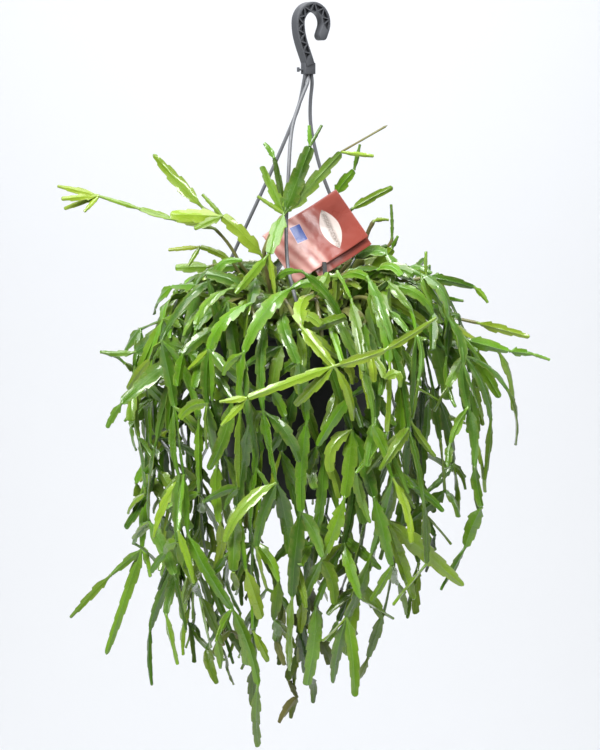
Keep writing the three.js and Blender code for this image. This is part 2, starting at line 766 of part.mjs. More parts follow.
const twig = (u, v, depth, width = 3) => ({ kind: "twig", u, v, depth, width, turn: 0 });
const blade = (u, v, depth, width, turn = 15) => ({ kind: "blade", u, v, depth, width, turn });
const fork = (piece, ...sides) => ({ ...piece, sides });

// Each piece runs on from the end of the one before it to a pixel of the view, at a depth in front
// of the pot's axis. The pieces of a fork's sides start where the fork ends.
const PLACED_STEMS = [
  {
    name: "stem_left_spray",
    line: [
      twig(240, 264, 30),
      twig(215, 229, 30),
      blade(176, 220, 30, 10, 30),
      blade(140, 209, 28, 8, 40),
      fork(
        blade(99, 196, 24, 5, 20),
        [blade(57, 186, 22, 7)],
        [blade(61, 199, 28, 7)],
        [blade(64, 209, 16, 6)],
        [blade(84, 212, 30, 5)],
      ),
    ],
  },
  {
    name: "stem_left_arch",
    line: [
      twig(262, 256, 44),
      fork(
        blade(222, 216, 42, 14),
        [blade(170, 215, 46, 14)],
        [blade(194, 229, 50, 9)],
        [blade(202, 194, 40, 5)],
        [twig(203, 208, 34), blade(153, 154, 30, 13)],
      ),
    ],
  },
  {
    name: "stem_left_low",
    line: [
      twig(232, 262, 18),
      fork(blade(200, 247, 16, 7), [blade(168, 250, 14, 5)], [blade(188, 266, 20, 5)]),
    ],
  },
  { name: "stem_left_paddle", line: [twig(246, 266, -6), twig(208, 267, -8), blade(175, 268, -8, 12)] },
  {
    name: "stem_centre_fan",
    line: [
      twig(264, 252, 62, 4),
      fork(
        twig(284, 214, 60, 4),
        [blade(261, 166, 56, 10)],
        [blade(274, 158, 50, 7), blade(264, 143, 46, 6)],
        [blade(257, 196, 66, 5)],
        [fork(blade(269, 254, 84, 14), [blade(235, 294, 92, 9)], [blade(276, 300, 88, 6)])],
        [fork(blade(310, 146, 50, 16), [blade(309, 125, 48, 5)], [blade(322, 125, 46, 4)])],
        [
          fork(
            blade(341, 152, 40, 14),
            [twig(362, 140, 34, 2), twig(388, 125, 28, 2)],
            [blade(374, 156, 34, 5)],
          ),
        ],
      ),
    ],
  },
  {
    name: "stem_behind_label",
    line: [
      fork(
        twig(322, 240, -30, 4),
        [blade(334, 196, -30, 10), fork(blade(354, 170, -30, 12), [blade(360, 144, -30, 5)])],
        [blade(352, 209, -34, 9), blade(393, 187, -34, 9)],
      ),
    ],
  },
  {
    name: "stem_right_curl",
    line: [
      fork(
        twig(352, 258, -10, 4),
        [twig(366, 238, -12, 4), twig(374, 221, -12, 4), blade(389, 220, -12, 5)],
        [blade(388, 246, -4, 9), twig(392, 238, -4), blade(391, 204, -4, 4)],
      ),
    ],
  },
  {
    name: "stem_right_pair",
    line: [twig(366, 280, 8), fork(blade(392, 248, 12, 14), [blade(398, 236, 16, 5)])],
  },
  {
    name: "stem_right_arm",
    line: [
      twig(350, 270, 40, 4),
      blade(400, 281, 44, 10),
      fork(
        twig(426, 277, 44),
        [blade(474, 287, 42, 10), blade(488, 303, 42, 6)],
        [blade(426, 251, 40, 6, 60)],
      ),
    ],
  },
  {
    name: "stem_right_bar",
    line: [twig(372, 284, 0, 4), blade(411, 293, 2, 9, 60), blade(464, 301, 4, 8, 40)],
  },
  {
    name: "stem_right_spray",
    line: [
      twig(385, 292, 20, 4),
      twig(430, 308, 24, 4),
      fork(
        blade(466, 340, 28, 9, 50),
        [fork(blade(509, 351, 26, 13), [blade(532, 354, 26, 9), blade(550, 360, 26, 4)])],
        [blade(500, 398, 34, 14)],
      ),
    ],
  },
  {
    name: "stem_right_wand",
    line: [twig(392, 300, -14, 4), twig(446, 316, -18), twig(478, 323, -20), blade(530, 337, -20, 10)],
  },
  {
    name: "stem_right_droop",
    line: [
      twig(376, 296, 52, 4),
      fork(
        blade(432, 330, 56, 12),
        [blade(468, 388, 56, 14), blade(476, 440, 52, 12)],
        [blade(449, 400, 60, 14)],
      ),
    ],
  },
  {
    name: "stem_front_sweep",
    line: [
      twig(282, 296, 76, 4),
      twig(302, 328, 116, 4),
      fork(
        blade(334, 366, 136, 11),
        [blade(385, 350, 142, 10), blade(437, 317, 138, 8)],
        [fork(blade(247, 398, 138, 9), [blade(219, 402, 140, 7)], [blade(221, 426, 138, 7)])],
      ),
    ],
  },
  {
    name: "stem_front_fork",
    line: [
      twig(316, 300, 80, 4),
      twig(322, 338, 98, 4),
      fork(
        blade(352, 430, 106, 12, 40),
        [blade(345, 497, 112, 14), blade(322, 560, 104, 14)],
        [blade(374, 497, 114, 14), blade(392, 566, 108, 14)],
      ),
    ],
  },
  {
    name: "stem_left_broad",
    line: [
      twig(222, 306, 50, 4),
      fork(
        blade(185, 350, 66, 12),
        [blade(122, 403, 70, 17), blade(107, 428, 68, 8)],
        [blade(232, 400, 104, 14), blade(208, 470, 104, 14)],
      ),
    ],
  },
  {
    name: "stem_left_shelf",
    line: [
      twig(210, 298, 30, 4),
      fork(blade(178, 318, 36, 9), [blade(136, 352, 34, 19), blade(101, 352, 30, 7)]),
    ],
  },
  {
    name: "stem_front_bar",
    line: [twig(250, 300, 78, 4), twig(262, 328, 96, 4), blade(297, 331, 97, 12), blade(346, 316, 111, 12)],
  },
  {
    name: "stem_left_tail",
    line: [
      twig(232, 290, 0, 4),
      blade(170, 320, 0, 13, 40),
      blade(150, 400, 4, 14),
      blade(146, 474, 4, 14, 60),
      fork(
        blade(142, 549, 6, 13, 30),
        [blade(111, 575, 6, 9), blade(70, 618, 4, 9)],
        [blade(106, 655, 8, 11)],
      ),
    ],
  },
  {
    name: "stem_right_tail",
    line: [
      twig(372, 300, 78, 4),
      blade(400, 380, 98, 15, 30),
      blade(398, 452, 100, 14, 50),
      fork(blade(388, 520, 92, 13), [blade(464, 586, 88, 18)], [blade(414, 600, 92, 14, 40)]),
    ],
  },
];

// A run of placed pieces as segments, smooth from one to the next, and its forks' sides after it.
function placeLine(pieces, from, heading, rootHalf, chains) {
  const points = [from, ...pieces.map(fromView)];
  const segments = chains.length && rootHalf === ROOT_HALF ? chains.pop().segments : [];
  const own = pieces.map((piece, i) => {
    const [start, end] = [points[i], points[i + 1]];
    const length = start.distanceTo(end);
    const chord = end.clone().sub(start).normalize();
    const entry = i ? end.clone().sub(points[i - 1]).normalize() : heading || chord;
    const exit = i + 2 < points.length ? points[i + 2].clone().sub(start).normalize() : chord;
    const knee = start.clone().lerp(end, 0.5).addScaledVector(entry.clone().sub(exit), length / 4);
    const turn = THREE.MathUtils.degToRad(piece.turn);
    const normal = squareTo(FRONT, chord).applyAxisAngle(chord, turn);
    return { kind: piece.kind, start, knee, end, normal, width: piece.width, heading: exit };
  });
  chains.push({ rootHalf, segments: [...segments, ...own] });
  pieces.forEach((piece, i) => {
    for (const side of piece.sides || []) placeLine(side, points[i + 1], null, BRANCH_HALF, chains);
  });
}

// Takes the free root nearest to a place beside the pot's axis, by its number.
function takeRoot(x, y, freeRoots) {
  const spread = (index) => (rootAt(index).x - POT_AXIS_X - x) ** 2 + (rootAt(index).y - y) ** 2;
  const index = freeRoots.reduce((best, each) => (spread(each) < spread(best) ? each : best));
  freeRoots.splice(freeRoots.indexOf(index), 1);
  return index;
}

function placeStem(plan, freeRoots, space) {
  const aim = fromView(plan.line[0]);
  const index = takeRoot((aim.x - POT_AXIS_X) * PLACED_PULL, aim.y * PLACED_PULL, freeRoots);
  const root = rootSegment(rootAt(index));
  const chains = [{ rootHalf: ROOT_HALF, segments: [root] }];
  placeLine(plan.line, root.end, UP, ROOT_HALF, chains);
  for (const chain of chains) {
    for (const segment of chain.segments) space.add(ballsOf(segment), plan.name);
  }
  return { name: plan.name, root: root.start, chains };
}

// Stems that grow by rule

// How far from the pot's axis a stem hangs at a height, by its share of the mass's depth.
function shellRadius(point, share) {
  const outward = outwardAt(point);
  const left = between(MASS, "z", point.z, "left");
  const right = between(MASS, "z", point.z, "right");
  const outer = mix(left, right, (outward.x + 1) / 2) * (1 - 0.26 * outward.y * outward.y);
  const inner = mix(RIM_RADIUS + 8, 30, clamp((POT_BOTTOM + 40 - point.z) / 240, 0, 1));
  return mix(inner, outer, share);
}

// Which way a stem wants to go from a point: up and over the rim at its own bearing, then down along
// its own shell.
function wish(plan, point) {
  const outward = outwardAt(point);
  const distance = axisDistance(point);
  const brim = RIM_RADIUS + 6;
  const [towardsX, towardsY] = [Math.sin(plan.bearing), -Math.cos(plan.bearing)];
  if (distance < brim && point.z > RIM_Z - 12) {
    const target = new THREE.Vector3(POT_AXIS_X + towardsX * (brim + 20), towardsY * (brim + 20), point.z);
    const share = clamp((distance - plan.rootRadius) / (brim - plan.rootRadius), 0, 1);
    const rise = mix(plan.rise, -0.45, share) - clamp((point.z - CREST_Z) / 30, 0, 1.5);
    return target.sub(point).normalize().multiplyScalar(Math.cos(rise)).addScaledVector(UP, Math.sin(rise));
  }
  const pull = clamp((shellRadius(point, plan.share) - distance) / 40, -0.5, 1.5);
  const astray = towardsX * -outward.y + towardsY * outward.x;
  const sideways = new THREE.Vector3(-outward.y, outward.x, 0).multiplyScalar(astray * 0.7 + plan.drift);
  return outward.multiplyScalar(pull).add(sideways).addScaledVector(UP, -1).normalize();
}

function scattered(random) {
  return new THREE.Vector3(random() - 0.5, random() - 0.5, random() - 0.5).multiplyScalar(2);
}

// The next segment of a chain, or null where there is no room for one.
function nextSegment(plan, kind, length, width, from, heading, space, random, turnOut) {
  for (let attempt = 0; attempt < TRIES; attempt++) {
    const loose = plan.loose + attempt * 0.035;
    const size = length * (1 - attempt * 0.012);
    const first = heading
      .clone()
      .multiplyScalar(0.45)
      .addScaledVector(wish(plan, from), 0.75)
      .addScaledVector(scattered(random), loose)
      .addScaledVector(turnOut, 1)
      .normalize();
    const ahead = from.clone().addScaledVector(first, size);
    const second = first
      .clone()
      .multiplyScalar(0.55)
      .addScaledVector(wish(plan, ahead), 0.6)
      .addScaledVector(scattered(random), loose * 0.5)
      .normalize();
    const knee = from.clone().addScaledVector(first, size / 2);
    const end = knee.clone().addScaledVector(second, size / 2);
    const middle = first.clone().add(second).normalize();
    const facing = squareTo(outwardAt(knee).addScaledVector(FRONT, 0.7).addScaledVector(UP, 0.3), middle);
    const swing = (random() - 0.5) * 2 * (first.distanceTo(second) > 0.45 ? 0.3 : plan.roll);
    const normal = facing.applyAxisAngle(middle, swing);
    const segment = { kind, start: from.clone(), knee, end, normal, width, heading: second };
    const balls = ballsOf(segment);
    const beyond = balls.slice(kind === "blade" ? 5 : 1);
    if (clearOfPot(beyond) && space.isFree(beyond, plan.name)) return segment;
  }
  return null;
}

const STILL = new THREE.Vector3();

// One blade onward, short inside the rim and long where it hangs.
function nextBlade(plan, tip, space, random, size = 1, turnOut = STILL) {
  const inside = axisDistance(tip.end) < RIM_RADIUS;
  const length = mix(...(inside ? INNER_LENGTHS : HUNG_LENGTHS), random());
  const width = mix(...BLADE_WIDTHS, random());
  const scaled = [length * size, width * Math.sqrt(size)];
  return nextSegment(plan, "blade", ...scaled, tip.end, tip.heading, space, random, turnOut);
}

// The main chain of a stem: its root, a woody twig and blades down to the hem.
function growChain(plan, space, random) {
  const root = rootSegment(rootAt(plan.index));
  const segments = [root];
  let tip = nextSegment(plan, "twig", plan.twigLength, 3.4, root.end, UP, space, random, STILL);
  while (tip) {
    segments.push(tip);
    const hem = between(HEM, "x", tip.end.x - POT_AXIS_X, "z") + plan.shortBy;
    if (tip.end.z < hem + 40) return { segments, complete: true };
    tip = nextBlade(plan, tip, space, random);
  }
  return { segments, complete: false };
}

// A short run of blades that leaves a joint to one side.
function sideRun(plan, parent, space, random) {
  const run = [];
  const turnOut = scattered(random).multiplyScalar(SIDE_SPREAD);
  let size = mix(0.7, 1, random());
  const count = 1 + Math.floor(random() * SIDE_MOST);
  for (let i = 0; i < count; i++) {
    const blade = nextBlade(plan, run[run.length - 1] || parent, space, random, size, turnOut);
    if (!blade) break;
    run.push(blade);
    turnOut.multiplyScalar(0.3);
    size *= 0.88;
  }
  return run;
}

function growStem(plan, freeRoots, space) {
  const tried = [];
  let best = null;
  while (tried.length < RETRIES && freeRoots.length && !(best && best.complete)) {
    const index = takeRoot(plan.x, plan.y, freeRoots);
    tried.push(index);
    const rooted = { ...plan, index, rootRadius: axisDistance(rootAt(index)) };
    const chain = growChain(rooted, space, randomStream(plan.seed + tried.length * 31337));
    const lowest = chain.segments[chain.segments.length - 1].end.z;
    if (!best || chain.complete || lowest < best.lowest) best = { ...chain, lowest, rooted };
  }
  const { segments, rooted } = best;
  freeRoots.push(...tried.filter((index) => index !== rooted.index));
  const chains = [{ rootHalf: ROOT_HALF, segments }];
  const random = randomStream(plan.seed + 1);
  for (const parent of segments.slice(2, -1)) {
    for (let i = 0; i < 2; i++) {
      const run = random() < SIDE_CHANCE ? sideRun(rooted, parent, space, random) : [];
      if (run.length) chains.push({ rootHalf: BRANCH_HALF, segments: run });
    }
  }
  for (const chain of chains) {
    for (const segment of chain.segments) space.add(ballsOf(segment), plan.name);
  }
  return { name: plan.name, root: segments[0].start, chains };
}

// The plan of one grown stem. They go round from the front on both sides and stand closer together
// there, and those that hang outermost rise highest, so that the stems nest.
function growthPlan(number, count) {
  const random = randomStream(GROWTH_SEED + number * 7919);
  random();
  const round = (Math.floor(number / 2) / count) * 2 * Math.PI * (number % 2 ? 1 : -1);
  const bearing = round - FRONT_CROWDING * Math.sin(round);
  const share = ((number * 5) % 8) / 7;
  const reach = mix(62, 40, share);
  const lengths = [0, 60, 20, 130, 35];
  return {
    name: `stem_${String(number).padStart(2, "0")}`,
    seed: GROWTH_SEED + number * 104729,
    bearing,
    x: reach * Math.sin(bearing),
    y: -reach * Math.cos(bearing),
    twigLength: mix(12, 30, share),
    rise: mix(0.8, 1.2, share),
    share: mix(0.08, 1, share),
    shortBy: lengths[number % lengths.length] + 20 * random(),
    drift: (random() - 0.5) * 0.2,
    loose: mix(...LOOSENESS, random()),
    roll: 1.2,
  };
}

function stemSolid(stem) {
  const chains = stem.chains.map((chain) => solidOf(chainGeometry(chain)));
  return chains.reduce((whole, chain) => whole.add(chain));
}

function growPlant(space, stake) {
  const clearOfStake = (index) => (rootAt(index).x - stake.x) ** 2 + (rootAt(index).y - stake.y) ** 2 > 81;
  const freeRoots = Array.from({ length: ROOT_COUNT }, (_, i) => i).filter(clearOfStake);
  const stems = PLACED_STEMS.map((plan) => placeStem(plan, freeRoots, space));
  for (let number = 1; number <= GROWN_STEMS; number++) {
    stems.push(growStem(growthPlan(number, GROWN_STEMS), freeRoots, space));
  }
  return stems;
}

// Assembly

const part = new THREE.Group();
const inPot = new THREE.Group();
inPot.position.x = POT_AXIS_X;
part.add(inPot);

const potPlastic = plastic(0x2a2a2e, 0.55);
const hookPlastic = plastic(0x55575b, 0.5);
const rodPlastic = plastic(0x808287, 0.45);
const soilEarth = plastic(0x35261b, 0.95);
const stemGreen = plastic(0x4f8a35, 0.45);
const labelCard = plastic(0xb6453c, 0.4);
const stakePlastic = plastic(0x232326, 0.5);

const space = new Space(9);
const foot = stakeFoot();
for (let z = foot.z; z < foot.z + 60; z += 4) {
  space.add([{ at: new THREE.Vector3(foot.x, foot.y, z), radius: STAKE_WIDTH }], "label_stake");
}
for (let z = 0; z <= STAKE_FAR_PRONG; z += 4) {
  const at = new THREE.Vector3(0, prongPlaces().far, z).applyMatrix4(stakeMatrix());
  space.add([{ at, radius: STAKE_WIDTH }], "label_stake");
}
for (const bow of ROD_BOWS) {
  const line = rodLine(bow).getSpacedPoints(90);
  space.add(line.map((at) => ({ at, radius: ROD_RADIUS + 0.6 })), bow.name);
}
const labelShape = geometryOf(labelSolid()).applyMatrix4(labelMatrix());
for (let x = -LABEL_WIDTH / 2 + 2; x <= LABEL_WIDTH / 2; x += 6) {
  for (let z = -LABEL_HEIGHT - 5; z <= 0; z += 6) {
    const at = new THREE.Vector3(x, 1.5, z).applyMatrix4(labelMatrix());
    space.add([{ at, radius: 5 }], "plant_label");
  }
}
const stems = growPlant(space, foot);

const hook = namedMesh("hanger_hook", geometryOf(hookSolid()).applyMatrix4(HOOK_MATRIX), hookPlastic);
part.add(hook);
for (const bow of ROD_BOWS) part.add(namedMesh(bow.name, geometryOf(rodSolid(bow)), rodPlastic));
inPot.add(namedMesh("pot", geometryOf(potSolid()), potPlastic));
inPot.add(namedMesh("soil", geometryOf(soilSolid(stems.map((stem) => stem.root), foot)), soilEarth));
part.add(namedMesh("plant_label", labelShape, labelCard));
part.add(namedMesh("label_stake", geometryOf(stakeSolid()), stakePlastic));
for (const stem of stems) part.add(namedMesh(stem.name, geometryOf(stemSolid(stem)), stemGreen));

export default part;
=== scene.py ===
"""Looks of a potted chain cactus that hangs by its hook: fine scalloped stems grown along the
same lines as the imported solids, with more stems between them, and the pot, hanger, soil and label.

Lengths are in millimetres until a piece's mesh is made, which is in metres."""

import math
from types import SimpleNamespace

import bmesh
import bpy
import numpy as np
from mathutils import Matrix, Vector, noise


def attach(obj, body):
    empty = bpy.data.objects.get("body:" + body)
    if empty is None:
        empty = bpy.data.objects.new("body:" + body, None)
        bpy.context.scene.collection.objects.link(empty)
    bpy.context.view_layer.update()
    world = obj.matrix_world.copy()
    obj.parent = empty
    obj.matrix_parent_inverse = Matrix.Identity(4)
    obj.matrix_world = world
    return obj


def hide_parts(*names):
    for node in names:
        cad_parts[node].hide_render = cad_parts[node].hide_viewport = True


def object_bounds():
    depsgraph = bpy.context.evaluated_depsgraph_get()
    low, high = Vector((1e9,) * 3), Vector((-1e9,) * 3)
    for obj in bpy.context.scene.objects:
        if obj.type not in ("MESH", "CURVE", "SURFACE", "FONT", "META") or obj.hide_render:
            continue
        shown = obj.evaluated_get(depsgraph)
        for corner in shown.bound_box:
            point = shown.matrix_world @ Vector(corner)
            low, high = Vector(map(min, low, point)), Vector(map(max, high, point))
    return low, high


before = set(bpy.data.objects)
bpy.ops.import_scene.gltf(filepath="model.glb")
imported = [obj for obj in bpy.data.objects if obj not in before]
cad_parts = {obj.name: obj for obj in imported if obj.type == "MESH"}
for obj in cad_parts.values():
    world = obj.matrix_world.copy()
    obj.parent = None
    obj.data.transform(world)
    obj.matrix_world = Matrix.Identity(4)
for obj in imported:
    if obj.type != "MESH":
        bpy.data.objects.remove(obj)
CAD_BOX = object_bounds()

MM = 0.001

# Pot
RIM_Z = -270
RIM_RADIUS = 85
RIM_BAND = 11
POT_HEIGHT = 156
POT_BOTTOM = RIM_Z - POT_HEIGHT
POT_BASE_RADIUS = 63
POT_SHOULDER_RADIUS = 79
POT_WALL = 1.8
POT_FLOOR = 2.4
POT_FOOT = 2.5
POT_FOOT_WIDTH = 9
POT_CORNER = 0.8
POT_STEPS = 120
POT_AXIS_X = -12
DRAIN_HOLES = 6
DRAIN_RADIUS = 4
DRAIN_CIRCLE = 38
LUG_ANGLES = [math.radians(angle) for angle in (-118, 2, 122)]
LUG_CIRCLE = 87
LUG_RADIUS = 4.6
LUG_HEIGHT = 4
LUG_HOLE = 2.1
LUG_BELOW_RIM = 0.2

# Hook
HOOK_BEND = 9.5
HOOK_BAND = 8.8
HOOK_DEPTH = 9
HOOK_TURN = math.radians(35)
HOOK_FOOT = (-3, -46)
HOOK_TIP_ANGLE = math.radians(-22)
HOOK_TIP = 6
# How the shank's curve leaves the foot, across and up, and how far below the bend it comes in straight
SHANK_LEAVES = (-4.5, 13)
SHANK_ARRIVES = 14
POCKET_DEPTH = 2.8
POCKET_PITCH = 4.6
COLLAR_WIDTH = 11.5
COLLAR_HEIGHT = 8
PEG_RADIUS = 0.9
PEG_LENGTH = 6
PEG_HEAD_RADIUS = 1.2
PEG_HEAD_LENGTH = 4
PEG_INSET = 2

# Rods
ROD_RADIUS = 1.6
ROD_SOCKET = 5
ROD_PITCH = 3.6
ROD_STRAIGHT = 9
ROD_STEPS = 110
KNOB_RADIUS = 3.4
KNOB_HEIGHT = 5
FIT_GAP = 0.3

# Soil
SOIL_BELOW_RIM = 10
SOIL_DOME = 5
STEM_DEPTH = 11
SOIL_GAP = 0.3
SOIL_SINK = 0.6
SOIL_RINGS = 22
SOIL_STEPS = 110
# Lumps of the soil's top: fineness, height
SOIL_LUMPS = [(0.16, 1.6), (0.5, 1.1)]
CRUMBS = 420
CRUMB_SEED = 31
CRUMB_CIRCLE = 70
CRUMB_SIZES = (0.7, 2.4)
CRUMB_LONG = (0.8, 2.2)
CRUMB_FLAT = (0.5, 0.9)

# Label and its stake
LABEL_THICK = 0.8
LABEL_GAP = 1.0
LABEL_OPEN = math.radians(3)
LABEL_BOW = 2.6
LABEL_WAVES = 1.15
LABEL_WAVE_START = 0.4
LABEL_WIDTH = 80
LABEL_HEIGHT = 51
BACK_LEAF_LONGER = 7
BACK_LEAF_FROM = -18
FOLD_SPAN = 1.5
FRONT_LEAF_STEPS = 26
FOLD_STEPS = 8
BACK_LEAF_STEPS = 29
# The card's corners: pixels of the view and a depth in front of the pot's axis
LABEL_FOLD_LEFT = (263, 235, 42)
LABEL_FOLD_RIGHT = (335, 190, 14)
LABEL_LOWER_LEFT = (299, 277, 50)
STAKE_ACROSS = -13
STAKE_WIDTH = 3.6
STAKE_THICK = 1.4
STAKE_FAR_PRONG = 66
STAKE_BAR_DROP = 6.5
# Places beside the stake's middle at which the card's wave sets how far off the near prong stands
NEAR_PRONG_REACH = (2, 8)
CARD_BEVEL = 0.2

# The label's marks: the ends of the oval and of the patch, as pixels of the view
OVAL_TOP = (322, 209)
OVAL_TIP = (340.5, 247.5)
OVAL_HALF = 8.8
PATCH_TOP = (294, 226.4)
PATCH_FOOT = (302.4, 242)
PATCH_NARROW = 0.68
# Millimetres of the card for one unit of its UV map
SHEET_SCALE = 100.0

# Stems: sizes
JOINT_HALF = 1.7
ROOT_HALF = 2.3
ROOT_ABOVE_SOIL = 2
TWIG_WIDTH = 3.4

# Room between stems: the balls that stand for a segment, and what they keep clear of
MOST_BALLS = 120000
SLIM_STEP = 3
SLIM_ROOM = 0.8
CLEAR_STEP = 7
CLEAR_BALL = 3.1
BLADE_EDGE = 2.4
BALLS_AT_JOINT = {"twig": 1, "blade": 5}
LOOK_ROUND = 5.2
STAKE_ROOM = 9
STAKE_STEP = 4
STAKE_BALLS = 15
ROD_ROOM = 0.6
ROD_BALLS = 90
LABEL_BALL = 5
LABEL_BALL_INWARD = 1.5
LABEL_STEP = 6

# Stems: how they grow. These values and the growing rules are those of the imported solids, so that
# each fine stem lies along its own solid.
ROOT_COUNT = 66
GROWN_STEMS = 29
FRONT_CROWDING = 0.55
PLACED_PULL = 0.5
ROOT_CIRCLE = 66
CREST_Z = RIM_Z + 34
CREST_SOFTNESS = 30
BRIM = RIM_RADIUS + 6
BRIM_TOP = RIM_Z - 12
BRIM_AIM = BRIM + 20
BRIM_FALL = -0.45
CREST_FALL = 1.5
SHELL_SOFTNESS = 40
SHALLOWER = 0.26
SHELL_AT_POT = RIM_RADIUS + 8
SHELL_CORE = 30
SHELL_CLOSES_FROM = POT_BOTTOM + 40
SHELL_CLOSES_OVER = 240
STRONGEST_PULL = 1.5
BACK_TO_BEARING = 0.7
GOLDEN_ANGLE = math.pi * (3 - math.sqrt(5))
GROWTH_SEED = 20303
PLAN_SEED_STEP = 7919
STEM_SEED_STEP = 104729
TRY_SEED_STEP = 31337
RETRIES = 8
LOOSENESS = (0.2, 0.45)
LOOSER_EACH_TRY = 0.035
SHORTER_EACH_TRY = 0.012
# How much of its heading a segment keeps in its first half and in its second
KEPT_HEADING = (0.45, 0.55)
SECOND_LOOSENESS = 0.5
SHARP_BEND = 0.45
ROLL_AT_BEND = 0.3
FACING_FRONT = 0.7
FACING_UP = 0.3
# These four pairs go from the stems that hang innermost to those that hang outermost
ROOT_REACH = (62, 40)
TWIG_LENGTHS = (12, 30)
RISES = (0.8, 1.2)
SHELL_SHARES = (0.08, 1)
SHORTENED_BY = (0, 60, 20, 130, 35)
SHORTENED_SPREAD = 20
DRIFT = 0.2
END_ABOVE_HEM = 40
SIDE_CHANCE = 0.27
SIDES_AT_JOINT = 2
RUN_SIZES = (0.7, 1)
RUN_STRAIGHTENS = 0.3
RUN_SHRINKS = 0.88
# Pull is how strongly a segment's first half and its second follow the stem's wish
PACKED_HABIT = {
    "inner_lengths": (30, 50),
    "hung_lengths": (50, 90),
    "widths": (8, 15),
    "roll": 1.2,
    "side_spread": 1.1,
    "side_most": 2,
    "pull": (0.75, 0.6),
    "inward": 0.5,
    "tries": 30,
    "slack": 1.0,
    "margin": None,
}

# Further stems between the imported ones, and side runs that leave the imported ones' joints
MORE_SEED = 511
MORE_STEMS = 168
MORE_PIECES = 10
MORE_RETRIES = 4
# The chance of a long stem on the left and on the right, and how far above the hem the stems end
MORE_LONG = (0.8, 0.16)
MORE_LONG_SHORTENED = (-10, 130)
MORE_SHORT_SHORTENED = (150, 350)
MORE_PULL = (0.54, 0.44)
# How far out a further stem may reach, as a share of the mass's depth
MORE_REACH = 1.2
LOW_LEFT_REACH = 1.5
LOW_LEFT_X = POT_AXIS_X - 60
LOW_LEFT_Z = -430
MORE_LOOSENESS = (0.45, 1.1)
MORE_ROOT_REACH = (14, 62)
MORE_TWIG_LENGTHS = (10, 34)
MORE_RISES = (0.3, 1.2)
MORE_LEAST_SHARE = 0.25
# The outermost that a further stem hangs, on the left and on the right
MORE_MOST_SHARE = (1.35, 1.1)
MORE_DRIFT = 0.3
MORE_CROWDING = 0.86
MORE_TO_LEFT = 0.35
MORE_BRANCHING = 0.8
MORE_TOP = -222
BELOW_HEM = 6
# How much a segment must fall for its length: height, least share
DROOP = [(-290, -1.0), (-300, 0.35), (-520, 0.5), (-590, 0.8)]
MORE_HABIT = {
    "inner_lengths": (24, 46),
    "hung_lengths": (36, 74),
    "widths": (8.5, 14.5),
    "roll": 1.4,
    "side_spread": 1.7,
    "side_most": 2,
    "inward": 0.1,
    "tries": 8,
    "slack": 0.44,
    "margin": 7,
}
ROOTS_BETWEEN = (0.2, 0.4, 0.6, 0.8)
RUN_SEED = 733
RUN_PULL = (0.55, 0.3)
RUN_BEARING = 0.6
RUNS_AT_JOINT = 3
# The chance of a side run at a joint: height, chance
RUN_CHANCE = [(-240, 0.8), (-400, 0.7), (-460, 0.6), (-560, 0.5)]
RUN_CHANCE_RIGHT = 0.6
RUNS_FEWER_FROM = 60
RUNS_ALL_TO = -110
RUNS_UP_TO = 150
# The balls that keep the label's face in view
VIEW_BALL = 18
VIEW_BALL_STEP = 8
VIEW_BALL_ROWS = (-44, -30, -16, -2)
VIEW_BALL_DEPTHS = (-12, -26)

# Finer steps of the hook
SHANK_STEPS = 18
BEND_STEPS = 30
POCKET_SHARE = 0.8
HOOK_TRIM = 0.1

# Fine skins: a ring's points go over the front from left to right, then back behind it
RING_SIDES = 8
FLAT_ACROSS = np.array([-1, -0.3, 0, 0.3, 1, 1, 0, -1])
FLAT_HEIGHT = np.array([0.3, 0.45, 1.3, 0.45, 0.3, -0.3, -1.1, -0.3])
ROUND_TURN = np.array([math.radians(turn) for turn in (165, 128, 90, 52, 15, -35, -90, -145)])
STEM_CREASE = 48
NECK_HALF = 1.3
LOBE_PITCH = 15.5
LOBE_STEP = 0.1
LOBE_SWELL = 0.6
LOBED_FROM = 0.08
LOBED_SHARE = 0.88
LOBE_DEPTH = (0.14, 0.3)
LOBE_OUT = 1.2
FIRST_RING = 0.04
LAST_RING = 0.985
NECK_FADE = 1.6
SLIM_RING_STEP = 6
SLIM_KNOBS = (0.88, 1.12)
FULL_RIB_HALF = 4
FULL_BOW_HALF = 9
BLADE_WIDEST = (0.16, 0.4)
BLADE_TIP = (0.3, 0.75)
BLADE_SHOULDER = 0.93
WEDGE_POWER = 0.6
TAPER_POWER = 1.5
SKIN_WIDTH = 0.98
BLADE_TWIST = math.radians(38)
BLADE_CUP = 2.2
EDGE_RIPPLE = 1.0
RIPPLE_WAVES = 11

# Looks of the stems: what is young, woody or dark, and how that changes towards the low ends. The darkness
# is partly a random tone and partly painted shade.
LOOK_SEED = 77
# How young the last segment of a chain and the one before it are at most
YOUNG_TIPS = (0.6, 0.2)
# The power that the draw for this is raised to, above and at the low ends
YOUNG_TIP_POWER = (2, 1.2)
YOUNG_STEMS = ("stem_left_spray", "stem_left_arch", "stem_front_sweep", "stem_right_wand", "stem_left_low")
YOUNG_STEM_BLADES = (0.45, 0.95)
WOOD = {"root": 1, "twig": 0.75, "blade": 0}
OLD_BLADES = 3
OLD_BLADE_WOOD = (0.1, 0.9)
# Stems darkened with painted shade on all but their last segment
SHADED_STEMS = ("stem_centre_fan", "stem_behind_label", "stem_right_curl")
SHADED_STEM_DARK = 0.8
SHADE_HIGH = 0.34
SHADE_LOW = 0.62
LOW_FROM = -400
LOW_OVER = 120
# Painted shade on stems deep inside the hanging mass: how fast it grows inward, and over how far below the
# rim it fades in
MASS_SHADE_GAIN = 1.7
MASS_SHADE_FADE = 50

# Colours of the stems' skin
GREENS = ("143e01", "6da41b")
YOUNG_GREENS = ("7ba022", "aabb34")
# A greyish waxy bloom on some blades, which also stands in for a painted sheen
BLOOM_AND_SHEEN = "6f9455"
RIB_GREEN = "93ae63"
EDGE_GREEN = "8fae35"
# The dark green of each blade's random darker tone and of painted shade
DARK_AND_SHADE_GREEN = "0c1c02"
BARKS = ("4f4a2c", "8a7a4c")
NOTCH_BROWN = "a39a5a"

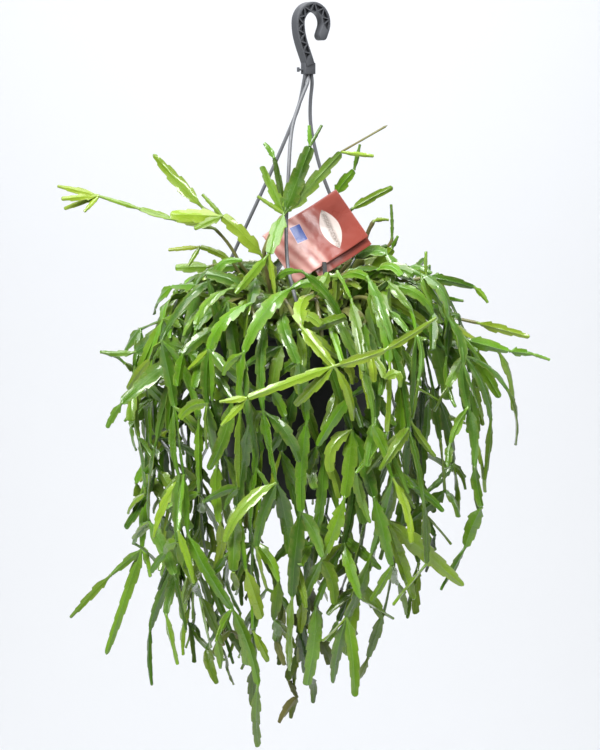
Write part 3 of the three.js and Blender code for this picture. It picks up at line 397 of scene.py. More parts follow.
# Colours of the card and of the peat
CARD_REDS = ("853a30", "974a3e")
# The pale pink of a painted glare in bands over the card's left part
CARD_GLARE = "d3a59c"
# The oval's pale print, and the grey of a painted shade streak down its middle
OVAL_AND_SHADE_TONES = ("d6c8c1", "7d7068")
PATCH_BLUES = ("1f3d88", "3c5fb2")
PATCH_RIM = "cfa8a6"
PEATS = ("1d140d", "6a4c33")
PEAT_FIBRE = "b9a88c"

# How far the mass of stems reaches from the pot's axis: height, left, right
MASS = [
    (-230, 105, 130),
    (-300, 150, 176),
    (-350, 152, 182),
    (-440, 134, 174),
    (-520, 124, 152),
    (-575, 114, 100),
    (-620, 96, 62),
    (-655, 50, 45),
]
# The lowest that a stem hangs: place left or right of the pot's axis, height
HEM = [
    (-150, -470),
    (-118, -585),
    (-60, -635),
    (15, -645),
    (60, -600),
    (105, -545),
    (150, -505),
    (185, -430),
]

# The view that the listed stems were read in: pixels of a 600 by 750 frame
VIEW_DISTANCE = 1500
VIEW_X = -9.7
VIEW_Z = -60
VIEW_PITCH = math.radians(10)
VIEW_MIDDLE = (300, 375)
VIEW_SCALE = 0.9
VIEW_LENS = 80
VIEW_SENSOR = 36

# Stage, in metres: a pale sweep, and the lights' places, aims, sizes and powers
FLOOR_Z = -1.8
SWEEP_HALF = 6
SWEEP_FRONT = -3.0
SWEEP_BEND_AT = 2.4
SWEEP_BEND = 1.2
SWEEP_TOP = 5.0
PLANT_MIDDLE = (-0.01, 0, -0.35)
LIGHTS = {
    "key": ((-1.25, -1.6, 1.45), PLANT_MIDDLE, 1.3, 96),
    "above": ((0.1, -1.0, 2.1), PLANT_MIDDLE, 2.2, 66),
    "fill": ((1.8, -1.4, 0.3), PLANT_MIDDLE, 1.6, 8),
    "backdrop": ((0, 1.2, 1.6), (0, 3.1, -0.9), 2.0, 47),
    "glare": ((0.9, -1.1, 1.1), (-0.01, 0, -0.17), 0.4, 12),
}
ROOM_LIGHT = (0.93, 0.95, 1.0, 1)
ROOM_STRENGTH = 0.12

UP = np.array([0.0, 0.0, 1.0])


# Numbers and directions


class Draws:
    """A repeatable stream of numbers from 0 to 1."""

    def __init__(self, seed):
        self.state = seed

    def __call__(self):
        self.state = (self.state * 1664525 + 1013904223) % 4294967296
        return self.state / 4294967296

    def within(self, low, high):
        return low + (high - low) * self()


def plan_draws(seed, number):
    """The stream of one stem's plan. Its first number is dropped, as it is much like the seed's."""
    draw = Draws(seed + number * PLAN_SEED_STEP)
    draw()
    return draw


def mix(a, b, share):
    return a + (b - a) * share


def clamp(value, low, high):
    return min(high, max(low, value))


def smooth(value):
    share = clamp(value, 0.0, 1.0)
    return share * share * (3 - 2 * share)


def between(stops, value, column):
    """A value read between the rows of a list sorted by its first column."""
    rising = 1 if stops[0][0] < stops[1][0] else -1
    i = 0
    while i < len(stops) - 2 and rising * (value - stops[i + 1][0]) > 0:
        i += 1
    share = clamp((value - stops[i][0]) / (stops[i + 1][0] - stops[i][0]), 0, 1)
    return mix(stops[i][column], stops[i + 1][column], share)


def unit(v):
    return v / (math.sqrt(float(v @ v)) or 1.0)


def length_of(v):
    return math.sqrt(float(v @ v))


def square_to(direction, heading):
    """The part of a direction that stands square to another."""
    return unit(direction - heading * float(direction @ heading))


def turned_about(v, axis, angle):
    return (
        v * math.cos(angle)
        + np.cross(axis, v) * math.sin(angle)
        + axis * float(axis @ v) * (1 - math.cos(angle))
    )


def from_view(place):
    """A pixel of the view at a depth in front of the pot's axis, as a point in the part's frame."""
    u, v, depth = place[:3]
    focal = VIEW_DISTANCE / VIEW_SCALE
    ahead = np.array([0, math.cos(VIEW_PITCH), -math.sin(VIEW_PITCH)])
    above = np.array([0, math.sin(VIEW_PITCH), math.cos(VIEW_PITCH)])
    ray = ahead * focal + above * (VIEW_MIDDLE[1] - v)
    ray[0] = u - VIEW_MIDDLE[0]
    reach = (VIEW_DISTANCE - depth) / ray[1]
    return np.array([VIEW_X, -VIEW_DISTANCE, VIEW_Z]) + ray * reach


def outward_at(point):
    outward = np.array([point[0] - POT_AXIS_X, point[1], 0.0])
    if length_of(outward) > 1e-6:
        return unit(outward)
    return np.array([0.0, -1.0, 0.0])


def axis_distance(point):
    x = point[0] - POT_AXIS_X
    return math.sqrt(x * x + point[1] * point[1])


def soil_height(radius):
    """The height of the soil's dome at a distance from the pot's axis, or at many."""
    share = np.minimum(1, radius / ROOT_CIRCLE)
    return RIM_Z - SOIL_BELOW_RIM + SOIL_DOME * (1 - share * share)


# Segments of a stem


def frames(segment, shares):
    """Points, headings, normals and sides of a segment: a curve that its knee pulls."""
    t = np.asarray(shares, float)[:, None]
    rest = 1 - t
    points = segment.start * (rest * rest) + segment.knee * (2 * rest * t) + segment.end * (t * t)
    headings = (segment.knee - segment.start) * rest + (segment.end - segment.knee) * t
    headings = headings / np.linalg.norm(headings, axis=1)[:, None]
    normals = segment.normal - headings * (headings @ segment.normal)[:, None]
    normals = normals / np.linalg.norm(normals, axis=1)[:, None]
    return points, headings, normals, np.cross(normals, headings)


def curve_length(segment):
    return length_of(segment.start - segment.knee) + length_of(segment.knee - segment.end)


def balls_of(segment):
    """The balls that stand for a segment when others look for room: their middles and radius."""
    slim = segment.kind != "blade"
    radius = segment.width / 2 + SLIM_ROOM if slim else CLEAR_BALL
    steps = math.ceil(curve_length(segment) / (SLIM_STEP if slim else CLEAR_STEP))
    reach = segment.width / 2 - BLADE_EDGE
    offsets = [0.0] if slim or reach < 1 else [-reach, 0.0, reach]
    points, _, _, sides = frames(segment, [i / steps for i in range(steps + 1)])
    spread = points[:, None, :] + sides[:, None, :] * np.array(offsets)[None, :, None]
    return spread.reshape(-1, 3), radius


class Space:
    """What has been placed so far, as balls, so that a new segment can look for room."""

    def __init__(self):
        self.points = np.zeros((MOST_BALLS, 3))
        self.radii = np.zeros(MOST_BALLS)
        self.owners = np.zeros(MOST_BALLS, int)
        self.count = 0
        self.names = {}
        self.firm = 0

    def number_of(self, owner):
        return self.names.setdefault(owner, len(self.names))

    def add(self, points, radius, owner):
        end = self.count + len(points)
        self.points[self.count : end] = points
        self.radii[self.count : end] = radius
        self.owners[self.count : end] = self.number_of(owner)
        self.count = end

    def is_free(self, points, radius, owner, slack):
        if not len(points):
            return True
        placed = self.points[: self.count]
        low = points.min(axis=0) - radius - LOOK_ROUND
        high = points.max(axis=0) + radius + LOOK_ROUND
        near = np.flatnonzero((placed[:, 0] > low[0]) & (placed[:, 0] < high[0]))
        spots = placed[near]
        close = (spots[:, 1] > low[1]) & (spots[:, 1] < high[1])
        close &= (spots[:, 2] > low[2]) & (spots[:, 2] < high[2])
        close &= self.owners[near] != self.number_of(owner)
        near = near[close]
        if not len(near):
            return True
        apart = points[:, None, :] - placed[near][None, :, :]
        loose = np.where(self.owners[near] < self.firm, 1, slack)
        reach = (radius + self.radii[near]) * loose
        return bool(np.all((apart * apart).sum(axis=2) >= (reach * reach)[None, :]))


def clear_of_pot(points, radius):
    x = points[:, 0] - POT_AXIS_X
    z = points[:, 2]
    distance = np.sqrt(x * x + points[:, 1] * points[:, 1])
    share = np.maximum(0, (z - POT_BOTTOM) / (POT_HEIGHT - RIM_BAND))
    wall = POT_BASE_RADIUS + (POT_SHOULDER_RADIUS - POT_BASE_RADIUS) * share
    wall = np.where(z > RIM_Z - RIM_BAND, RIM_RADIUS, wall)
    clear = (z > RIM_Z + radius + 1) | (z < POT_BOTTOM - radius - 3) | (distance > wall + radius + 1)
    clear |= (z > soil_height(distance) + radius) & (distance < POT_SHOULDER_RADIUS - POT_WALL - radius)
    return bool(clear.all())


def root_at(index):
    """Where a stem stands in the soil, by its number in the spiral of roots."""
    radius = ROOT_CIRCLE * math.sqrt((index + 0.5) / ROOT_COUNT)
    turn = index * GOLDEN_ANGLE
    return np.array([POT_AXIS_X + radius * math.sin(turn), -radius * math.cos(turn), soil_height(radius)])


def root_segment(root):
    start = root - UP * STEM_DEPTH
    end = root + UP * ROOT_ABOVE_SOIL
    return SimpleNamespace(
        kind="root",
        start=start,
        knee=(start + end) / 2,
        end=end,
        normal=np.array([0.0, -1.0, 0.0]),
        width=2 * ROOT_HALF,
        heading=UP,
    )


# Stems placed one by one

# Towards the viewer and a little up
FRONT = unit(np.array([0, -1, 0.17]))


def twig(u, v, depth, width=3):
    return SimpleNamespace(kind="twig", place=(u, v, depth), width=width, turn=0, sides=[])


def blade(u, v, depth, width, turn=15):
    return SimpleNamespace(kind="blade", place=(u, v, depth), width=width, turn=turn, sides=[])


def fork(piece, *sides):
    piece.sides = list(sides)
    return piece


# Each piece runs on from the end of the one before it to a pixel of the view, at a depth in front
# of the pot's axis. The pieces of a fork's sides start where the fork ends.
PLACED_STEMS = {
    "stem_left_spray": [
        twig(240, 264, 30),
        twig(215, 229, 30),
        blade(176, 220, 30, 10, 30),
        blade(140, 209, 28, 8, 40),
        fork(
            blade(99, 196, 24, 5, 20),
            [blade(57, 186, 22, 7)],
            [blade(61, 199, 28, 7)],
            [blade(64, 209, 16, 6)],
            [blade(84, 212, 30, 5)],
        ),
    ],
    "stem_left_arch": [
        twig(262, 256, 44),
        fork(
            blade(222, 216, 42, 14),
            [blade(170, 215, 46, 14)],
            [blade(194, 229, 50, 9)],
            [blade(202, 194, 40, 5)],
            [twig(203, 208, 34), blade(153, 154, 30, 13)],
        ),
    ],
    "stem_left_low": [
        twig(232, 262, 18),
        fork(blade(200, 247, 16, 7), [blade(168, 250, 14, 5)], [blade(188, 266, 20, 5)]),
    ],
    "stem_left_paddle": [twig(246, 266, -6), twig(208, 267, -8), blade(175, 268, -8, 12)],
    "stem_centre_fan": [
        twig(264, 252, 62, 4),
        fork(
            twig(284, 214, 60, 4),
            [blade(261, 166, 56, 10)],
            [blade(274, 158, 50, 7), blade(264, 143, 46, 6)],
            [blade(257, 196, 66, 5)],
            [fork(blade(269, 254, 84, 14), [blade(235, 294, 92, 9)], [blade(276, 300, 88, 6)])],
            [fork(blade(310, 146, 50, 16), [blade(309, 125, 48, 5)], [blade(322, 125, 46, 4)])],
            [
                fork(
                    blade(341, 152, 40, 14),
                    [twig(362, 140, 34, 2), twig(388, 125, 28, 2)],
                    [blade(374, 156, 34, 5)],
                )
            ],
        ),
    ],
    "stem_behind_label": [
        fork(
            twig(322, 240, -30, 4),
            [blade(334, 196, -30, 10), fork(blade(354, 170, -30, 12), [blade(360, 144, -30, 5)])],
            [blade(352, 209, -34, 9), blade(393, 187, -34, 9)],
        ),
    ],
    "stem_right_curl": [
        fork(
            twig(352, 258, -10, 4),
            [twig(366, 238, -12, 4), twig(374, 221, -12, 4), blade(389, 220, -12, 5)],
            [blade(388, 246, -4, 9), twig(392, 238, -4), blade(391, 204, -4, 4)],
        ),
    ],
    "stem_right_pair": [twig(366, 280, 8), fork(blade(392, 248, 12, 14), [blade(398, 236, 16, 5)])],
    "stem_right_arm": [
        twig(350, 270, 40, 4),
        blade(400, 281, 44, 10),
        fork(
            twig(426, 277, 44),
            [blade(474, 287, 42, 10), blade(488, 303, 42, 6)],
            [blade(426, 251, 40, 6, 60)],
        ),
    ],
    "stem_right_bar": [twig(372, 284, 0, 4), blade(411, 293, 2, 9, 60), blade(464, 301, 4, 8, 40)],
    "stem_right_spray": [
        twig(385, 292, 20, 4),
        twig(430, 308, 24, 4),
        fork(
            blade(466, 340, 28, 9, 50),
            [fork(blade(509, 351, 26, 13), [blade(532, 354, 26, 9), blade(550, 360, 26, 4)])],
            [blade(500, 398, 34, 14)],
        ),
    ],
    "stem_right_wand": [
        twig(392, 300, -14, 4),
        twig(446, 316, -18),
        twig(478, 323, -20),
        blade(530, 337, -20, 10),
    ],
    "stem_right_droop": [
        twig(376, 296, 52, 4),
        fork(
            blade(432, 330, 56, 12),
            [blade(468, 388, 56, 14), blade(476, 440, 52, 12)],
            [blade(449, 400, 60, 14)],
        ),
    ],
    "stem_front_sweep": [
        twig(282, 296, 76, 4),
        twig(302, 328, 116, 4),
        fork(
            blade(334, 366, 136, 11),
            [blade(385, 350, 142, 10), blade(437, 317, 138, 8)],
            [fork(blade(247, 398, 138, 9), [blade(219, 402, 140, 7)], [blade(221, 426, 138, 7)])],
        ),
    ],
    "stem_front_fork": [
        twig(316, 300, 80, 4),
        twig(322, 338, 98, 4),
        fork(
            blade(352, 430, 106, 12, 40),
            [blade(345, 497, 112, 14), blade(322, 560, 104, 14)],
            [blade(374, 497, 114, 14), blade(392, 566, 108, 14)],
        ),
    ],
    "stem_left_broad": [
        twig(222, 306, 50, 4),
        fork(
            blade(185, 350, 66, 12),
            [blade(122, 403, 70, 17), blade(107, 428, 68, 8)],
            [blade(232, 400, 104, 14), blade(208, 470, 104, 14)],
        ),
    ],
    "stem_left_shelf": [
        twig(210, 298, 30, 4),
        fork(blade(178, 318, 36, 9), [blade(136, 352, 34, 19), blade(101, 352, 30, 7)]),
    ],
    "stem_front_bar": [
        twig(250, 300, 78, 4),
        twig(262, 328, 96, 4),
        blade(297, 331, 97, 12),
        blade(346, 316, 111, 12),
    ],
    "stem_left_tail": [
        twig(232, 290, 0, 4),
        blade(170, 320, 0, 13, 40),
        blade(150, 400, 4, 14),
        blade(146, 474, 4, 14, 60),
        fork(
            blade(142, 549, 6, 13, 30),
            [blade(111, 575, 6, 9), blade(70, 618, 4, 9)],
            [blade(106, 655, 8, 11)],
        ),
    ],
    "stem_right_tail": [
        twig(372, 300, 78, 4),
        blade(400, 380, 98, 15, 30),
        blade(398, 452, 100, 14, 50),
        fork(blade(388, 520, 92, 13), [blade(464, 586, 88, 18)], [blade(414, 600, 92, 14, 40)]),
    ],
}


def place_line(pieces, start, heading, chains, root=()):
    """A run of placed pieces as a chain of segments, smooth from one to the next, and its forks' sides."""
    points = [start] + [from_view(piece.place) for piece in pieces]
    chain = list(root)
    for i, piece in enumerate(pieces):
        begin, end = points[i], points[i + 1]
        chord = unit(end - begin)
        if i:
            entry = unit(end - points[i - 1])
        else:
            entry = chord if heading is None else heading
        leaving = unit(points[i + 2] - begin) if i + 2 < len(points) else chord
        knee = (begin + end) / 2 + (entry - leaving) * (length_of(end - begin) / 4)
        normal = turned_about(square_to(FRONT, chord), chord, math.radians(piece.turn))
        chain.append(
            SimpleNamespace(
                kind=piece.kind,
                start=begin,
                knee=knee,
                end=end,
                normal=normal,
                width=piece.width,
                heading=leaving,
            )
        )
    chains.append(chain)
    for i, piece in enumerate(pieces):
        for side in piece.sides:
            place_line(side, points[i + 1], None, chains)


def take_root(x, y, free_roots):
    """Takes the free root nearest to a place beside the pot's axis, by its number."""

    def spread(index):
        root = root_at(index)
        return (root[0] - POT_AXIS_X - x) ** 2 + (root[1] - y) ** 2

    index = min(free_roots, key=spread)
    free_roots.remove(index)
    return index


def fill_space(chains, name, space):
    for chain in chains:
        for segment in chain:
            points, radius = balls_of(segment)
            space.add(points, radius, name)


def place_stem(name, line, free_roots, space):
    aim = from_view(line[0].place)
    index = take_root((aim[0] - POT_AXIS_X) * PLACED_PULL, aim[1] * PLACED_PULL, free_roots)
    root = root_segment(root_at(index))
    chains = []
    place_line(line, root.end, UP, chains, [root])
    fill_space(chains, name, space)
    return SimpleNamespace(name=name, chains=chains)


# Stems that grow by rule


def shell_radius(point, share):
    """How far from the pot's axis a stem hangs at a height, by its share of the mass's depth."""
    outward = outward_at(point)
    left = between(MASS, point[2], 1)
    right = between(MASS, point[2], 2)
    outer = mix(left, right, (outward[0] + 1) / 2) * (1 - SHALLOWER * outward[1] * outward[1])
    closing = clamp((SHELL_CLOSES_FROM - point[2]) / SHELL_CLOSES_OVER, 0, 1)
    inner = mix(SHELL_AT_POT, SHELL_CORE, closing)
    return mix(inner, outer, share)


def wish(plan, point):
    """Which way a stem wants to go: up and over the rim at its own bearing, then down its shell."""
    outward = outward_at(point)
    distance = axis_distance(point)
    toward_x, toward_y = math.sin(plan.bearing), -math.cos(plan.bearing)
    if distance < BRIM and point[2] > BRIM_TOP:
        target = np.array([POT_AXIS_X + toward_x * BRIM_AIM, toward_y * BRIM_AIM, point[2]])
        share = clamp((distance - plan.root_radius) / (BRIM - plan.root_radius), 0, 1)
        over = clamp((point[2] - CREST_Z) / CREST_SOFTNESS, 0, CREST_FALL)
        rise = mix(plan.rise, BRIM_FALL, share) - over
        return unit(target - point) * math.cos(rise) + UP * math.sin(rise)
    short_of_shell = (shell_radius(point, plan.share) - distance) / SHELL_SOFTNESS
    pull = clamp(short_of_shell, -plan.inward, STRONGEST_PULL)
    astray = toward_x * -outward[1] + toward_y * outward[0]
    sideways = np.array([-outward[1], outward[0], 0]) * (astray * BACK_TO_BEARING + plan.drift)
    return unit(outward * pull + sideways - UP)


def scattered(draw):
    return np.array([draw() - 0.5, draw() - 0.5, draw() - 0.5]) * 2


def next_segment(plan, kind, length, width, start, heading, space, draw, turn_out):
    """The next segment of a chain, or None where there is no room for one."""
    for attempt in range(plan.tries):
        loose = plan.loose + attempt * LOOSER_EACH_TRY
        size = length * (1 - attempt * SHORTER_EACH_TRY)
        first = heading * KEPT_HEADING[0] + wish(plan, start) * plan.pull[0]
        first = unit(first + scattered(draw) * loose + turn_out)
        second = first * KEPT_HEADING[1] + wish(plan, start + first * size) * plan.pull[1]
        second = unit(second + scattered(draw) * (loose * SECOND_LOOSENESS))
        knee = start + first * (size / 2)
        end = knee + second * (size / 2)
        middle = unit(first + second)
        facing = square_to(outward_at(knee) + FRONT * FACING_FRONT + UP * FACING_UP, middle)
        roll = ROLL_AT_BEND if length_of(first - second) > SHARP_BEND else plan.roll
        normal = turned_about(facing, middle, (draw() - 0.5) * 2 * roll)
        segment = SimpleNamespace(
            kind=kind, start=start, knee=knee, end=end, normal=normal, width=width, heading=second
        )
        points, radius = balls_of(segment)
        beyond = points[BALLS_AT_JOINT[kind] :]
        if not may_grow(plan, start, end) or not clear_of_pot(beyond, radius):
            continue
        if space.is_free(beyond, radius, plan.name, plan.slack):
            return segment
    return None


STILL = np.zeros(3)


def next_blade(plan, tip, space, draw, size=1, turn_out=STILL):
    """One blade onward, short inside the rim and long where it hangs."""
    inside = axis_distance(tip.end) < RIM_RADIUS
    length = mix(*(plan.inner_lengths if inside else plan.hung_lengths), draw())
    width = mix(*plan.widths, draw())
    return next_segment(
        plan, "blade", length * size, width * math.sqrt(size), tip.end, tip.heading, space, draw, turn_out
    )


def grow_chain(plan, space, draw):
    """The main chain of a stem: its root, a woody twig and blades down to the hem."""
    root = root_segment(root_at(plan.index))
    segments = [root]
    tip = next_segment(plan, "twig", plan.twig_length, TWIG_WIDTH, root.end, UP, space, draw, STILL)
    while tip is not None:
        segments.append(tip)
        hem = between(HEM, tip.end[0] - POT_AXIS_X, 1) + plan.short_by
        if tip.end[2] < hem + END_ABOVE_HEM:
            return segments, True
        tip = next_blade(plan, tip, space, draw)
    return segments, False


def side_run(plan, parent, space, draw):
    """A short run of blades that leaves a joint to one side."""
    run = []
    turn_out = scattered(draw) * plan.side_spread
    size = mix(*RUN_SIZES, draw())
    count = 1 + int(draw() * plan.side_most)
    for _ in range(count):
        piece = next_blade(plan, run[-1] if run else parent, space, draw, size, turn_out)
        if piece is None:
            break
        run.append(piece)
        turn_out = turn_out * RUN_STRAIGHTENS
        size *= RUN_SHRINKS
    return run


def side_runs(plan, parents, chance, space, draw):
    """The side runs of a stem: up to two at each joint, each by a chance."""
    runs = []
    for parent in parents:
        for _ in range(SIDES_AT_JOINT):
            run = side_run(plan, parent, space, draw) if draw() < chance else []
            if run:
                runs.append(run)
    return runs


def grow_stem(plan, free_roots, space):
    tried = []
    best = None
    while len(tried) < RETRIES and free_roots and not (best and best.complete):
        index = take_root(plan.x, plan.y, free_roots)
        tried.append(index)
        rooted = SimpleNamespace(**vars(plan))
        rooted.index = index
        rooted.root_radius = axis_distance(root_at(index))
        chain, complete = grow_chain(rooted, space, Draws(plan.seed + len(tried) * TRY_SEED_STEP))
        lowest = chain[-1].end[2]
        if not best or complete or lowest < best.lowest:
            best = SimpleNamespace(chain=chain, complete=complete, lowest=lowest, rooted=rooted)
    free_roots.extend(index for index in tried if index != best.rooted.index)
    runs = side_runs(best.rooted, best.chain[2:-1], SIDE_CHANCE, space, Draws(plan.seed + 1))
    chains = [best.chain, *runs]
    fill_space(chains, plan.name, space)
    return SimpleNamespace(name=plan.name, chains=chains)


def growth_plan(number, count):
    """The plan of one grown stem. Those that hang outermost rise highest, so that they nest."""
    draw = plan_draws(GROWTH_SEED, number)
    around = (number // 2 / count) * 2 * math.pi * (1 if number % 2 else -1)
    bearing = around - FRONT_CROWDING * math.sin(around)
    share = ((number * 5) % 8) / 7
    reach = mix(*ROOT_REACH, share)
    return SimpleNamespace(
        name=f"stem_{number:02d}",
        seed=GROWTH_SEED + number * STEM_SEED_STEP,
        bearing=bearing,
        x=reach * math.sin(bearing),
        y=-reach * math.cos(bearing),
        twig_length=mix(*TWIG_LENGTHS, share),
        rise=mix(*RISES, share),
        share=mix(*SHELL_SHARES, share),
        short_by=SHORTENED_BY[number % len(SHORTENED_BY)] + SHORTENED_SPREAD * draw(),
        drift=(draw() - 0.5) * DRIFT,
        loose=mix(*LOOSENESS, draw()),
        **PACKED_HABIT,
    )


def may_grow(plan, start, end):
    """True if a further stem may grow so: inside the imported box, near the mass and drooping."""
    if plan.margin is None:
        return True
    low, high = CAD_BOX
    low_left = end[0] < LOW_LEFT_X and end[2] < LOW_LEFT_Z
    if axis_distance(end) > shell_radius(end, LOW_LEFT_REACH if low_left else MORE_REACH):
        return False
    if end[2] > MORE_TOP:
        return False
    droop = between(DROOP, start[2], 1)
    if start[2] - end[2] < droop * length_of(end - start):
        return False
    if end[2] < between(HEM, end[0] - POT_AXIS_X, 1) - BELOW_HEM:
        return False
    return all(low[i] / MM + plan.margin < end[i] < high[i] / MM - plan.margin for i in range(3))


# Hanger, label and stake: their lines and places

# The way each rod bows from the collar to its lug, as points from the collar's foot
ROD_BOWS = {
    "hanger_rod_left": (-1, 0, [(-4, 0, -7), (-6, 3, -18), (-9, 6, -30), (-15, 9, -45), (-28, 14, -75)]),
    "hanger_rod_front": (
        0,
        1,
        [(-0.5, -3, -7), (-4, -6, -16), (-9, -9, -29), (-14, -14, -46), (-17, -28, -80), (-18, -66, -160)],
    ),
    "hanger_rod_right": (
        1,
        2,
        [(3.5, 3, -7), (2, 5, -24), (2, 7, -40), (4, 9, -55), (11, 13, -83), (22, 19, -112)],
    ),
}


def hook_place(x, y, z=0.0):
    """From the hook's own plane into the part's frame."""
    c, s = math.cos(HOOK_TURN), math.sin(HOOK_TURN)
    return np.array([x * c + z * s, x * s - z * c, y])


def collar_point(place, drop):
    return hook_place(HOOK_FOOT[0] + place * ROD_PITCH, HOOK_FOOT[1] - COLLAR_HEIGHT - drop)


def lug_place(angle):
    return LUG_CIRCLE * math.sin(angle), -LUG_CIRCLE * math.cos(angle)


def rod_points(place, lug, bow):
    lug_x, lug_y = lug_place(LUG_ANGLES[lug])
    below = RIM_Z - LUG_HEIGHT - FIT_GAP - KNOB_HEIGHT / 2
    start = [collar_point(place, -ROD_SOCKET), collar_point(place, -ROD_SOCKET / 2), collar_point(place, 1)]
    bowed = [collar_point(0, 0) + np.array(step, float) for step in bow]
    heights = (RIM_Z + ROD_STRAIGHT, RIM_Z, below)
    return start + bowed + [np.array([POT_AXIS_X + lug_x, lug_y, z]) for z in heights]


def through(points, share):
    """A place on the smooth curve that runs through a list of points."""
    last = len(points) - 1
    index = min(int(last * share), last - 1)
    t = last * share - index
    before = points[index - 1] if index > 0 else points[0] * 2 - points[1]
    after = points[index + 2] if index + 2 <= last else points[last] * 2 - points[last - 1]
    run = [before, points[index], points[index + 1], after]
    gaps = [float((b - a) @ (b - a)) ** 0.25 for a, b in zip(run, run[1:])]
    d0, d1, d2 = gaps
    x0, x1, x2, x3 = run
    leave = ((x1 - x0) / d0 - (x2 - x0) / (d0 + d1) + (x2 - x1) / d1) * d1
    arrive = ((x2 - x1) / d1 - (x3 - x1) / (d1 + d2) + (x3 - x2) / d2) * d1
    bend = -3 * x1 + 3 * x2 - 2 * leave - arrive
    swing = 2 * x1 - 2 * x2 + leave + arrive
    return x1 + leave * t + bend * t**2 + swing * t**3


def step_at(lengths, target):
    """The step of a line that a length along it falls on, and how far into that step."""
    at = min(int(np.searchsorted(lengths, target, side="right")) - 1, len(lengths) - 2)
    return at, (target - lengths[at]) / (lengths[at + 1] - lengths[at])


def evenly(points, count):
    """Places along the same curve, evenly spaced."""
    divisions = 200
    walk = [through(points, i / divisions) for i in range(divisions + 1)]
    lengths = [0.0]
    for a, b in zip(walk, walk[1:]):
        lengths.append(lengths[-1] + length_of(b - a))
    spots = []
    for i in range(count + 1):
        at, part = step_at(lengths, i / count * lengths[-1])
        spots.append(through(points, (at + part) / divisions))
    return spots


class Place:
    """A frame of its own: three directions and an origin."""

    def __init__(self, across, inward, upward, origin):
        self.turn = np.column_stack([across, inward, upward])
        self.origin = origin

    def at(self, x, y, z):
        return self.turn @ np.array([x, y, z], float) + self.origin


def label_frame():
    left = from_view(LABEL_FOLD_LEFT)
    right = from_view(LABEL_FOLD_RIGHT)
    across = unit(right - left)
    upward = square_to(left - from_view(LABEL_LOWER_LEFT), across)
    return Place(across, np.cross(upward, across), upward, (left + right) / 2)


def label_bow(x):
    """How far the label's leaves wave back from their own plane."""
    return LABEL_BOW * math.sin((x / LABEL_WIDTH) * 2 * math.pi * LABEL_WAVES + LABEL_WAVE_START)


def prong_places():
    near = min(label_bow(STAKE_ACROSS + reach) for reach in NEAR_PRONG_REACH) - FIT_GAP - STAKE_THICK
    far = LABEL_BOW + 2 * LABEL_THICK + LABEL_GAP + LABEL_HEIGHT * math.tan(LABEL_OPEN) + FIT_GAP
    return near, far, (near + far + STAKE_THICK) / 2


def stake_frame():
    label = label_frame()
    slope = math.atan2(label.turn[2, 0], label.turn[0, 0])
    c, s = math.cos(slope), math.sin(slope)
    across = label.turn @ np.array([c, 0, -s])
    upward = label.turn @ np.array([s, 0, c])
    foot = label.at(STAKE_ACROSS, 0, -LABEL_HEIGHT - BACK_LEAF_LONGER)
    return Place(across, label.turn[:, 1], upward, foot)


def stake_foot():
    foot = stake_frame().at(0, prong_places()[2], -STAKE_BAR_DROP)
    foot[2] = soil_height(axis_distance(foot)) - STEM_DEPTH
    return foot


def keep_clear(space):
    """Fills the places of the stake, the rods and the label, so that no stem grows through them."""
    foot = stake_foot()
    spots = [foot + UP * STAKE_STEP * i for i in range(STAKE_BALLS)]
    space.add(np.array(spots), STAKE_WIDTH, "label_stake")
    stake = stake_frame()
    spots = [stake.at(0, prong_places()[1], z) for z in range(0, STAKE_FAR_PRONG + 1, STAKE_STEP)]
    space.add(np.array(spots), STAKE_WIDTH, "label_stake")
    for name, bow in ROD_BOWS.items():
        space.add(np.array(evenly(rod_points(*bow), ROD_BALLS)), ROD_RADIUS + ROD_ROOM, name)
    label = label_frame()
    half = LABEL_WIDTH // 2
    across = range(2 - half, half + 1, LABEL_STEP)
    down = range(-LABEL_HEIGHT - LABEL_BALL, 1, LABEL_STEP)
    spots = [label.at(x, LABEL_BALL_INWARD, z) for x in across for z in down]
    space.add(np.array(spots), LABEL_BALL, "plant_label")
    space.firm = len(space.names)


def grow_plant(space):
    """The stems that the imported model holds, each along the line of its own solid."""
    keep_clear(space)
    foot = stake_foot()
    free_roots = []
    for index in range(ROOT_COUNT):
        root = root_at(index)
        if (root[0] - foot[0]) ** 2 + (root[1] - foot[1]) ** 2 > STAKE_ROOM**2:
            free_roots.append(index)
    stems = [place_stem(name, line, free_roots, space) for name, line in PLACED_STEMS.items()]
    for number in range(1, GROWN_STEMS + 1):
        stems.append(grow_stem(growth_plan(number, GROWN_STEMS), free_roots, space))
    return stems


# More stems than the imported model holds, along the same rules but closer together


def further_plan(name, seed, bearing, pull, draw):
    """How a further stem or side run grows: looser, and free to brush against its neighbours."""
    rightward = (math.sin(bearing) + 1) / 2
    is_long = draw() < mix(*MORE_LONG, rightward)
    short_by = draw.within(*(MORE_LONG_SHORTENED if is_long else MORE_SHORT_SHORTENED))
    return SimpleNamespace(
        name=name,
        seed=seed,
        bearing=bearing,
        root_radius=0,
        twig_length=draw.within(*MORE_TWIG_LENGTHS),
        rise=draw.within(*MORE_RISES),
        share=draw.within(MORE_LEAST_SHARE, mix(*MORE_MOST_SHARE, rightward)),
        short_by=short_by,
        drift=(draw() - 0.5) * MORE_DRIFT,
        loose=draw.within(*MORE_LOOSENESS),
        pull=pull,
        **MORE_HABIT,
    )


